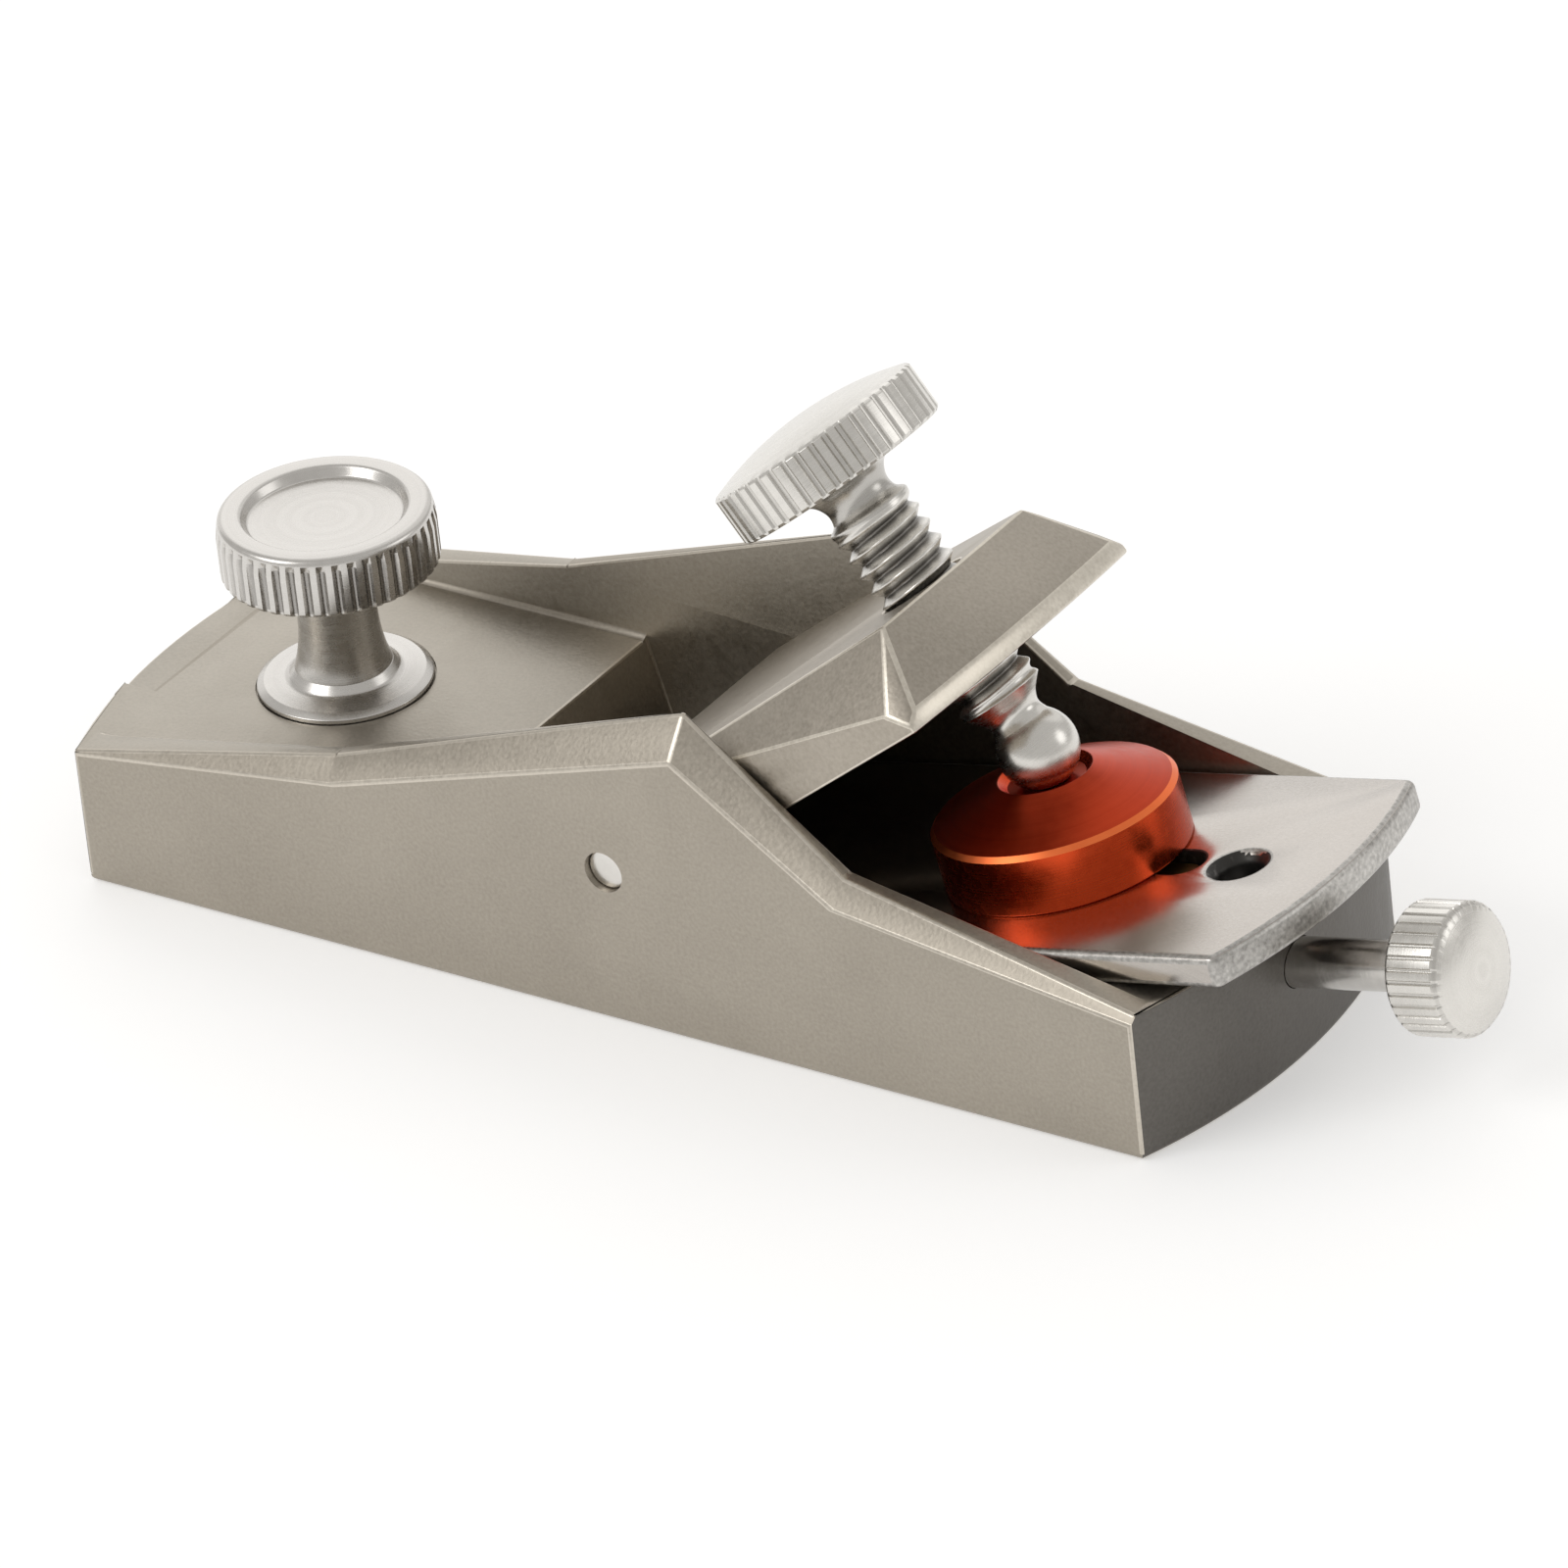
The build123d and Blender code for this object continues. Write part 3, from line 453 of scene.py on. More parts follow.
@dataclass(frozen=True)
class Ground:
    """Metal ground flat: long fine scratches one way and a few crossing ones.

    Attributes:
        name: the material's name.
        colour: the metal's colour.
        shadow: the colour of the scratches.
        roughness: how dull it is.
        slope: the tilt of the ground face about Y, in radians.
        scratch: depth of the scratches, in metres.
    """

    name: str
    colour: Colour
    shadow: Colour
    roughness: float
    slope: float = 0.0
    scratch: float = 0.000006

    def material(self) -> bpy.types.Material:
        """Returns the material."""
        s = Shader(self.name)
        where = s.place()
        lines = s.noise(s.stretched(where, (140.0, 7000.0, 5000.0), self.slope), 1.0, 3.0)
        across = s.noise(s.stretched(where, (5200.0, 120.0, 5000.0), self.slope), 1.0, 2.0)
        film = s.noise(where, 70.0, 4.0, 1.0)
        grit = s.noise(where, 3600.0, 2.0)
        shade = (lines - 0.5) * 0.9 + (film - 0.5) * 0.6 + (grit - 0.5) * 0.6 + 0.5
        return s.finish(
            1.0,
            Base_Color=s.mix(shade, self.shadow, self.colour),
            Roughness=self.roughness + (film - 0.5) * 0.12 + (lines - 0.5) * 0.08,
            Normal=s.bump(lines * 0.6 + across * 0.25 + grit * 0.4, self.scratch, 0.7),
        )


@dataclass(frozen=True)
class Blackened:
    """Dark oxidised steel with rubbed lighter patches.

    Attributes:
        name: the material's name.
        colour: the oxide's colour.
        rubbed: the colour where it has worn.
    """

    name: str
    colour: Colour
    rubbed: Colour

    def material(self) -> bpy.types.Material:
        """Returns the material."""
        s = Shader(self.name)
        where = s.place()
        wear = s.noise(where, 500.0, 4.0, 0.8)
        grit = s.noise(where, 4000.0, 2.0)
        return s.finish(
            0.9,
            Base_Color=s.mix(wear.step(0.55, 0.75), self.colour, self.rubbed),
            Roughness=0.45 + (grit - 0.5) * 0.3,
            Normal=s.bump(grit, 0.00001, 0.6),
        )


@dataclass(frozen=True)
class Backdrop:
    """The pale floor, bright enough to read as paper under soft light.

    Attributes:
        name: the material's name.
        colour: the floor's colour.
        glow: how much light it gives off by itself.
    """

    name: str
    colour: Colour
    glow: float

    def material(self) -> bpy.types.Material:
        """Returns the material."""
        s = Shader(self.name)
        return s.finish(
            0.0,
            Base_Color=(*self.colour, 1.0),
            Roughness=0.9,
            Emission_Color=(1.0, 1.0, 1.0, 1.0),
            Emission_Strength=self.glow,
        )


# ---- turned pieces -------------------------------------------------------------------------------------
@dataclass(frozen=True)
class Flutes:
    """Straight grooves round a rim.

    Attributes:
        count: how many there are.
        depth: their depth.
        share: half the width of a groove, as a share of the spacing.
        rim: the radius that they are cut from.
    """

    count: int
    depth: float
    share: float
    rim: float

    def limit(self, turn: float) -> float:
        """Returns the radius that the grooves leave at an angle given in turns."""
        offset = abs((turn * self.count + 0.5) % 1.0 - 0.5) / self.share
        return self.rim if offset >= 1 else self.rim - self.depth * sqrt(1 - offset * offset)


@dataclass(frozen=True)
class Thread:
    """A helical thread on a shank.

    Attributes:
        crest: its outer radius.
        depth: its depth.
        pitch: the distance between turns.
        start: the height where it begins.
        end: the height where it stops.
        hand: which way it winds.
        runout: the length over which it fades at each end.
    """

    crest: float
    depth: float
    pitch: float
    start: float
    end: float
    hand: Hand = Hand.RIGHT
    runout: float = 1.0

    def limit(self, height: float, turn: float) -> float:
        """Returns the radius that the thread leaves at a height and an angle given in turns."""
        if not self.start < height < self.end:
            return 1e9
        phase = (height / self.pitch - self.hand.value * turn) % 1.0
        cut = min(1.0, max(0.0, (THREAD_ROOT - abs(2 * phase - 1)) / THREAD_FLANK))
        fade = min(1.0, (height - self.start) / self.runout, (self.end - height) / self.runout)
        return self.crest - self.depth * cut * fade

    def heights(self) -> List[float]:
        """Returns the heights of the rings that the thread needs."""
        rows = int((self.end - self.start) / self.pitch * THREAD_ROWS)
        return [self.start + (self.end - self.start) * row / rows for row in range(rows + 1)]


@dataclass
class Lathe:
    """A closed piece turned about an axis.

    Attributes:
        name: the piece's name.
        profile: heights and radii from one end of the axis to the other.
        axle: where it lies.
        steps: how many steps there are round it.
        flutes: grooves on its rim, or None.
        fluted: the heights between which the grooves are cut.
        thread: a thread, or None.
        crease: the angle in degrees above which its edges stay sharp.
    """

    name: str
    profile: Sequence[Point]
    axle: Axle
    steps: int = 96
    flutes: Optional[Flutes] = None
    fluted: Point = (0.0, 0.0)
    thread: Optional[Thread] = None
    crease: float = 32.0

    def radius(self, height: float, radius: float, turn: float) -> float:
        """Returns the radius after the flutes and the thread are cut.

        Args:
            height: the height on the axis.
            radius: the profile's radius there.
            turn: the angle, in turns.
        """
        if self.flutes and self.fluted[0] <= height <= self.fluted[1]:
            radius = min(radius, self.flutes.limit(turn))
        if self.thread:
            radius = min(radius, self.thread.limit(height, turn))
        return radius

    def build(self) -> bpy.types.Object:
        """Returns the piece, closed at both ends."""
        rows = [(h, r) for h, r in self.profile if r > 1e-6]
        vertices = [(0.0, 0.0, self.profile[0][0])]
        for height, radius in rows:
            for step in range(self.steps):
                turn = step / self.steps
                reach = self.radius(height, radius, turn)
                vertices.append((reach * cos(2 * pi * turn), reach * sin(2 * pi * turn), height))
        vertices.append((0.0, 0.0, self.profile[-1][0]))
        last = len(vertices) - 1
        faces: List[Tuple[int, ...]] = []
        for step in range(self.steps):
            after = (step + 1) % self.steps
            faces.append((0, 1 + after, 1 + step))
            for row in range(len(rows) - 1):
                low, high = 1 + row * self.steps, 1 + (row + 1) * self.steps
                faces.append((low + step, low + after, high + after, high + step))
            top = 1 + (len(rows) - 1) * self.steps
            faces.append((top + step, top + after, last))
        place = self.axle.matrix()
        mesh = bpy.data.meshes.new(self.name)
        mesh.from_pydata([place @ (Vector(v) * MM) for v in vertices], [], faces)
        piece = shown(self.name, mesh, self.crease)
        if self.thread:
            for edge in mesh.edges:
                heights = [rows[(v - 1) // self.steps][0] for v in edge.vertices if 0 < v < last]
                if len(heights) == 2 and all(self.thread.start <= h <= self.thread.end for h in heights):
                    edge.use_edge_sharp = False
        return piece


def shown(name: str, mesh: bpy.types.Mesh, crease: float = 32.0) -> bpy.types.Object:
    """Puts a mesh in the scene, smooth except where it bends sharply.

    Args:
        name: the piece's name.
        mesh: its mesh.
        crease: the angle in degrees above which an edge stays sharp.

    Returns:
        The piece.
    """
    mesh.validate()
    mesh.polygons.foreach_set("use_smooth", [True] * len(mesh.polygons))
    mesh.set_sharp_from_angle(angle=radians(crease))
    mesh.update()
    piece = bpy.data.objects.new(name, mesh)
    bpy.context.scene.collection.objects.link(piece)
    return piece


def rounded(corners: Sequence[Tuple[float, float, float]], parts: int = 5) -> List[Point]:
    """Rounds the corners of a profile.

    Args:
        corners: height, radius and corner rounding of each point.
        parts: how many segments an arc has.

    Returns:
        Heights and radii along the rounded profile.
    """
    points: List[Point] = []
    for index, (height, radius, bend) in enumerate(corners):
        here = Vector((height, radius))
        if bend <= 0 or index in (0, len(corners) - 1):
            points.append((height, radius))
            continue
        before = Vector(corners[index - 1][:2]) - here
        after = Vector(corners[index + 1][:2]) - here
        half = before.angle(after) / 2
        back = min(bend / max(1e-6, sin(half) / cos(half)), before.length * 0.49, after.length * 0.49)
        start, end = here + before.normalized() * back, here + after.normalized() * back
        for part in range(parts + 1):
            t = part / parts
            spot = start * (1 - t) ** 2 + here * (2 * t * (1 - t)) + end * t**2
            points.append((spot.x, spot.y))
    return points


def curve(points: Sequence[Point], parts: int = 6) -> List[Point]:
    """Runs a smooth curve through the points of a profile.

    Args:
        points: heights and radii.
        parts: how many segments there are between two points.

    Returns:
        Heights and radii along the curve.
    """
    ends = [Vector(points[0]), *map(Vector, points), Vector(points[-1])]
    path: List[Point] = []
    for a, b, c, d in zip(ends, ends[1:], ends[2:], ends[3:]):
        for part in range(parts):
            t = part / parts
            spot = 0.5 * (
                2 * b + (c - a) * t + (2 * a - 5 * b + 4 * c - d) * t**2 + (3 * b - a - 3 * c + d) * t**3
            )
            path.append((spot.x, spot.y))
    path.append(tuple(points[-1]))
    return path


def dome(rim: float, base: float, rise: float, rows: int = 10) -> List[Point]:
    """Returns the heights and radii of a shallow dome, from its rim to its top.

    Args:
        rim: the rim's radius.
        base: the rim's height.
        rise: how far the top stands above the rim.
        rows: how many rings it has.
    """
    ball = (rim * rim + rise * rise) / (2 * rise)
    radii = [rim * (1 - row / rows) for row in range(rows + 1)]
    return [(base + rise - ball + sqrt(ball * ball - r * r), r) for r in radii]


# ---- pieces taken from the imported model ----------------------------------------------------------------
def with_arrises(
    node: str,
    name: str,
    width: float,
    angle: float = 20.0,
    smallest: float = 0.0,
    shape: Optional[Callable[[bmesh.types.BMesh], None]] = None,
) -> bpy.types.Object:
    """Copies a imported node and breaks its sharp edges, as a file or a tumbler would.

    Args:
        node: the node to copy.
        name: the new piece's name.
        width: width of the edge break, in millimetres.
        angle: edges that bend by more than this many degrees are broken.
        smallest: the edges of faces smaller than this, in square millimetres, stay as they are.
        shape: a change to make to the copy before that, or None.

    Returns:
        The copy, whose edge breaks take its second material.
    """
    work = bmesh.new()
    work.from_mesh(frame["nodes"][node].data)
    bmesh.ops.remove_doubles(work, verts=work.verts, dist=WELD)
    bmesh.ops.dissolve_limit(work, angle_limit=radians(FLAT), verts=work.verts, edges=work.edges)
    if shape is not None:
        shape(work)
    weight = work.edges.layers.float.new("bevel_weight_edge")
    for edge in work.edges:
        wide = all(face.calc_area() > smallest * MM**2 for face in edge.link_faces)
        if wide and len(edge.link_faces) == 2 and edge.calc_face_angle() > radians(angle):
            edge[weight] = 1.0
    mesh = bpy.data.meshes.new(name)
    work.to_mesh(mesh)
    work.free()
    for spare in ("custom_normal", "sharp_face", "sharp_edge"):
        if spare in mesh.attributes:
            mesh.attributes.remove(mesh.attributes[spare])
    rough = bpy.data.objects.new(name + "_blank", mesh)
    bpy.context.scene.collection.objects.link(rough)
    breaks = rough.modifiers.new("arrises", "BEVEL")
    breaks.width = width * MM
    breaks.segments = 2
    breaks.limit_method = "WEIGHT"
    breaks.use_clamp_overlap = False
    breaks.material = 1
    mesh.materials.append(None)
    mesh.materials.append(None)
    bpy.context.view_layer.update()
    solid = bpy.data.meshes.new_from_object(rough.evaluated_get(bpy.context.evaluated_depsgraph_get()))
    bpy.data.objects.remove(rough)
    corners, faces = [v.co.copy() for v in mesh.vertices], [tuple(p.vertices) for p in mesh.polygons]
    surface = BVHTree.FromPolygons(corners, faces)
    for vertex in solid.vertices:
        nearest, _, _, gap = surface.find_nearest(vertex.co)
        if gap > width * STRAY * MM:
            vertex.co = nearest
    low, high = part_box(node)
    for vertex in solid.vertices:
        vertex.co = [min(max(c, a), b) for c, a, b in zip(vertex.co, low, high)]
    return shown(name, solid, BREAK_CREASE)


def repaint(piece: bpy.types.Object, slot: int, chosen: Callable[[bpy.types.MeshPolygon], bool]) -> None:
    """Moves the chosen faces of a piece to another material slot, made if it is missing.

    Args:
        piece: the piece.
        slot: the slot's number.
        chosen: tells whether a face is moved.
    """
    while len(piece.data.materials) <= slot:
        piece.data.materials.append(None)
    for face in piece.data.polygons:
        if chosen(face):
            face.material_index = slot


def dress(piece: bpy.types.Object, *materials: bpy.types.Material) -> None:
    """Gives a piece its materials.

    Args:
        piece: the piece.
        materials: one for each slot, in order; slots that are missing are made.
    """
    for index, material in enumerate(materials):
        if index < len(piece.material_slots):
            piece.material_slots[index].material = material
        else:
            piece.data.materials.append(material)


def fit(piece: bpy.types.Object, body: Body, node: str) -> None:
    """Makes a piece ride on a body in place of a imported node.

    Args:
        piece: the piece.
        body: the body that it moves with.
        node: the node that it stands for.
    """
    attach(piece, body.value)
    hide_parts(node)
    LOG.info("%s rides on %s, %d faces", piece.name, body.value, len(piece.data.polygons))


# ---- sub-assemblies ------------------------------------------------------------------------------------
@dataclass
class Stock:
    """The body of the plane with the pin of its lever cap and the fork of its adjuster.

    Attributes:
        arris: width of the body's edge breaks.
        smallest: the edges of faces smaller than this, in square millimetres, stay sharp.
        wall_inside: half the distance between the side walls; the deck between them gets painted light.
        wall_slack: how far an inner wall's face may lie outside that; the inner walls get painted shade.
        heel: where the corners of the heel's end face lie; the end face behind them gets painted shade.
        pin_radius: radius of the cross pin.
        pin_edge: rounding of the pin's ends.
    """

    arris: float = 0.3
    smallest: float = 2.0
    wall_inside: float = 21.0
    wall_slack: float = 0.3
    heel: float = 67.8
    pin_radius: float = 2.35
    pin_edge: float = 0.3

    def build(self) -> None:
        """Builds and dresses the pieces."""
        finishes = (
            Blasted("blasted_body", (0.45, 0.41, 0.35), (0.335, 0.302, 0.255), 0.42),
            # edge breaks lighter than the body: partly worn metal, partly painted highlight
            Blasted("body_arris_wear_and_highlight", (0.66, 0.61, 0.53), (0.52, 0.475, 0.41), 0.32, pit=0.00002),
            # painted light: a lighter copy of the body's finish for the deck
            Blasted("body_deck_painted_light", (0.52, 0.48, 0.42), (0.40, 0.37, 0.32), 0.40),
            # painted shade: a much darker copy of the body's finish for the heel's end face
            Blasted("body_heel_painted_shade", (0.165, 0.155, 0.142), (0.118, 0.110, 0.100), 0.40),
            # painted shade: a darker copy of the body's finish for the inner faces of the side walls
            Blasted("body_inner_wall_painted_shade", (0.42, 0.385, 0.33), (0.31, 0.28, 0.235), 0.42),
        )
        body = with_arrises("plane_body", "machined_body", self.arris, smallest=self.smallest)
        inside, wall = self.wall_inside * MM, (self.wall_inside + self.wall_slack) * MM
        # the deck takes painted light, the heel's end face and the inner walls take painted shade
        repaint(body, 2, lambda face: face.normal.z > 0.98 and abs(face.center.y) < inside)
        repaint(body, 3, lambda face: face.normal.x > 0.8 and face.center.x > self.heel * MM)
        repaint(body, 4, lambda face: abs(face.normal.y) > 0.98 and abs(face.center.y) < wall)
        dress(body, *(finish.material() for finish in finishes))
        fit(body, Body.STOCK, "plane_body")
        self.pin()
        dark = Blackened("blackened_fork", (0.035, 0.034, 0.033), (0.16, 0.15, 0.14))
        dress(frame["nodes"]["adjuster_fork"], dark.material())

    def pin(self) -> None:
        """Builds the cross pin, with rounded ends."""
        low, high = (Vector(corner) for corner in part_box("cross_pin"))
        axle = Axle(Vector(((low.x + high.x) / 2, low.y, (low.z + high.z) / 2)), Vector((0, 1, 0)))
        length = (high.y - low.y) / MM
        r = self.pin_radius
        profile = rounded(
            [(0, 0, 0), (0, r, self.pin_edge), (length / 2, r, 0), (length, r, self.pin_edge), (length, 0, 0)]
        )
        pin = Lathe("ground_cross_pin", profile, axle, 64).build()
        steel = Turned("pin_steel", (0.80, 0.78, 0.74), (0.62, 0.60, 0.57), 0.24, axle)
        dress(pin, steel.material())
        fit(pin, Body.STOCK, "cross_pin")


@dataclass
class FrontKnob:
    """The finger knob on the deck, its collar and its stud.

    Attributes:
        radius: outer radius of the fluted rim.
        flutes: how many flutes there are.
        flute_depth: their depth.
        rim_round: rounding of the rim's upper edge.
        dish: radius of the dish's floor.
        dish_depth: depth of the dish.
        head: height of the rim.
        neck: radii of the neck from its foot to the head.
        foot: radius of the neck's foot.
        collar: radii of the collar: outer, lip and cone.
    """

    radius: float = 12.0
    flutes: int = 44
    flute_depth: float = 0.5
    rim_round: float = 1.3
    dish: float = 8.5
    dish_depth: float = 1.1
    head: float = 6.9
    neck: float = 4.4
    foot: float = 5.4
    collar: Tuple[float, float, float] = (9.7, 8.9, 6.2)

    def build(self) -> None:
        """Builds and dresses the pieces."""
        low, high = (Vector(corner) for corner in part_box("front_knob"))
        axle = Axle(Vector(((low.x + high.x) / 2, (low.y + high.y) / 2, 0.0)), Vector((0, 0, 1)))
        foot, top = low.z / MM, high.z / MM
        under = top - self.head
        r = self.radius
        neck = curve(
            [
                (foot, self.foot),
                (foot + (under - foot) * 0.14, self.neck + 0.45),
                (foot + (under - foot) * 0.4, self.neck + 0.02),
                (foot + (under - foot) * 0.8, self.neck),
                (under - 0.5, self.neck + 0.5),
                (under, self.foot + 0.6),
            ]
        )
        rim = rounded(
            [
                (under, self.foot + 0.6, 0),
                (under, r, 0.5),
                (top - self.rim_round * 1.7, r, 0),
                (top - self.rim_round * 1.1, r - 0.12, 0.3),
                (top, r - 0.35, 1.4),
                (top, self.dish + 0.7, 0.6),
                (top - self.dish_depth, self.dish, 0.4),
                (top - self.dish_depth, 0, 0),
            ],
            7,
        )
        profile = [(foot, 0.0), *neck, *rim[1:]]
        grooves = Flutes(self.flutes, self.flute_depth, 0.27, r)
        knob = Lathe(
            "fluted_front_knob", profile, axle, self.flutes * 10, grooves, (under, top - self.rim_round)
        ).build()
        steel = Turned(
            "front_knob_steel",
            (0.71, 0.69, 0.66),
            (0.56, 0.54, 0.515),
            0.27,
            axle,
            # painted shade in the recesses of the flutes
            grooves=(Groove.of(r, self.flute_depth, under + 0.3, top - self.rim_round * 1.1, 0.45),),
        )
        dress(knob, steel.material())
        fit(knob, Body.STOCK, "front_knob")
        self.base(axle, steel.material())
        dress(frame["nodes"]["front_knob_stud"], steel.material())

    def base(self, axle: Axle, steel: bpy.types.Material) -> None:
        """Builds the collar under the knob.

        Args:
            axle: the knob's axis.
            steel: the collar's material.
        """
        low, high = (Vector(corner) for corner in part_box("front_knob_base"))
        seat, top = low.z / MM, high.z / MM
        outer, lip, cone = self.collar
        profile = rounded(
            [
                (seat, 0, 0),
                (seat, outer, 0.1),
                (top - 1.9, outer, 0.2),
                (top - 1.4, lip, 0.15),
                (top - 1.1, cone, 0.9),
                (top, self.foot, 0.2),
                (top, 0, 0),
            ]
        )
        collar = Lathe("front_knob_collar", profile, axle, 160).build()
        dress(collar, steel)
        fit(collar, Body.STOCK, "front_knob_base")


@dataclass
class LeverCap:
    """The bevelled cap that tilts on the cross pin.

    Attributes:
        arris: width of its edge breaks.
        underside: height of the flat underside above the ball's centre, along the screw.
        lip: height of the rear edge above the underside.
        ridge: how far the ridge lies behind the screw's axis, half its length, and its height.
        slack: how far a corner may lie from where it is looked for.
        behind_ridge: how far behind the ridge the rear edge starts.
    """

    arris: float = 0.3
    underside: float = 10.5
    lip: float = 1.9
    ridge: Tuple[float, float, float] = (5.3, 13.4, 21.0)
    slack: float = 0.1
    behind_ridge: float = 1.5

    def build(self) -> None:
        """Builds and dresses the cap."""
        axle = Axle.of_joint("clamp_turn")
        rear = Vector((0, 1, 0)).cross(axle.direction)
        cap = with_arrises(
            "lever_cap", "bevelled_lever_cap", self.arris, shape=lambda work: self.trim(work, axle)
        )
        blasted = Blasted("blasted_cap", (0.48, 0.435, 0.375), (0.35, 0.315, 0.265), 0.40)
        # painted highlight: a much lighter copy of the cap's finish for its edge breaks, which are partly
        # worn as well
        arris = Blasted("cap_arris_wear_and_highlight", (0.78, 0.73, 0.64), (0.60, 0.55, 0.47), 0.34, pit=0.00002)
        # the rear slope takes the same painted highlight
        repaint(
            cap, 1, lambda face: face.normal.dot(rear) > 0.85 and abs(face.normal.dot(axle.direction)) < 0.1
        )
        dress(cap, blasted.material(), arris.material())
        fit(cap, Body.CAP, "lever_cap")

    def trim(self, work: bmesh.types.BMesh, axle: Axle) -> None:
        """Gives the rear edge a lip of even height and runs the slope down to it from the ridge.

        Args:
            work: the cap's mesh.
            axle: the clamp screw's axis, from the ball's centre.
        """
        rear = Vector((0, 1, 0)).cross(axle.direction)

        def along(vertex: bmesh.types.BMVert, direction: Vector) -> float:
            """Returns how far a vertex lies along a direction, in millimetres."""
            return (vertex.co - axle.origin).dot(direction) / MM

        behind, half, height = self.ridge
        low = self.underside + self.lip
        start = behind + self.behind_ridge
        lowered = [v for v in work.verts if along(v, rear) > start and along(v, axle.direction) > low]
        ends = [
            v
            for v in work.verts
            if abs(along(v, rear) - behind) < self.slack
            and abs(abs(v.co.y / MM) - half) < self.slack
            and abs(along(v, axle.direction) - height) < self.slack
        ]
        ends.sort(key=lambda v: v.co.y)
        old = [
            face
            for face in work.faces
            if any(v in ends for v in face.verts) and any(v in lowered for v in face.verts)
        ]
        loops = [list(face.verts) for face in old]
        for face in old:
            work.faces.remove(face)
        for vertex in lowered:
            vertex.co += axle.direction * (low - along(vertex, axle.direction)) * MM
        for loop in loops:
            after = loop[1:] + loop[:1]
            nearest = [
                min(ends, key=lambda end: abs(end.co.y - (a.co.y + b.co.y) / 2)) for a, b in zip(loop, after)
            ]
            both = all(end in loop for end in ends)
            for a, b, end in zip(loop, after, nearest):
                end = end if both else next(e for e in ends if e in loop)
                if end not in (a, b):
                    work.faces.new((end, a, b))
            if both:
                self.close(work, loop, ends, nearest)
        work.normal_update()

    def close(self, work: bmesh.types.BMesh, loop: List[Any], ends: List[Any], nearest: List[Any]) -> None:
        """Closes the slope between the two fans that start at the ridge's ends.

        Args:
            work: the cap's mesh.
            loop: the corners of the slope, in order.
            ends: the ridge's two ends.
            nearest: the end that each edge of the slope belongs to.
        """
        count = len(loop)
        for index, corner in enumerate(loop):
            before, after = nearest[index - 1], nearest[index]
            if corner not in ends and before is not after and loop[(index + 1) % count] not in ends:
                work.faces.new((before, corner, after))
                return


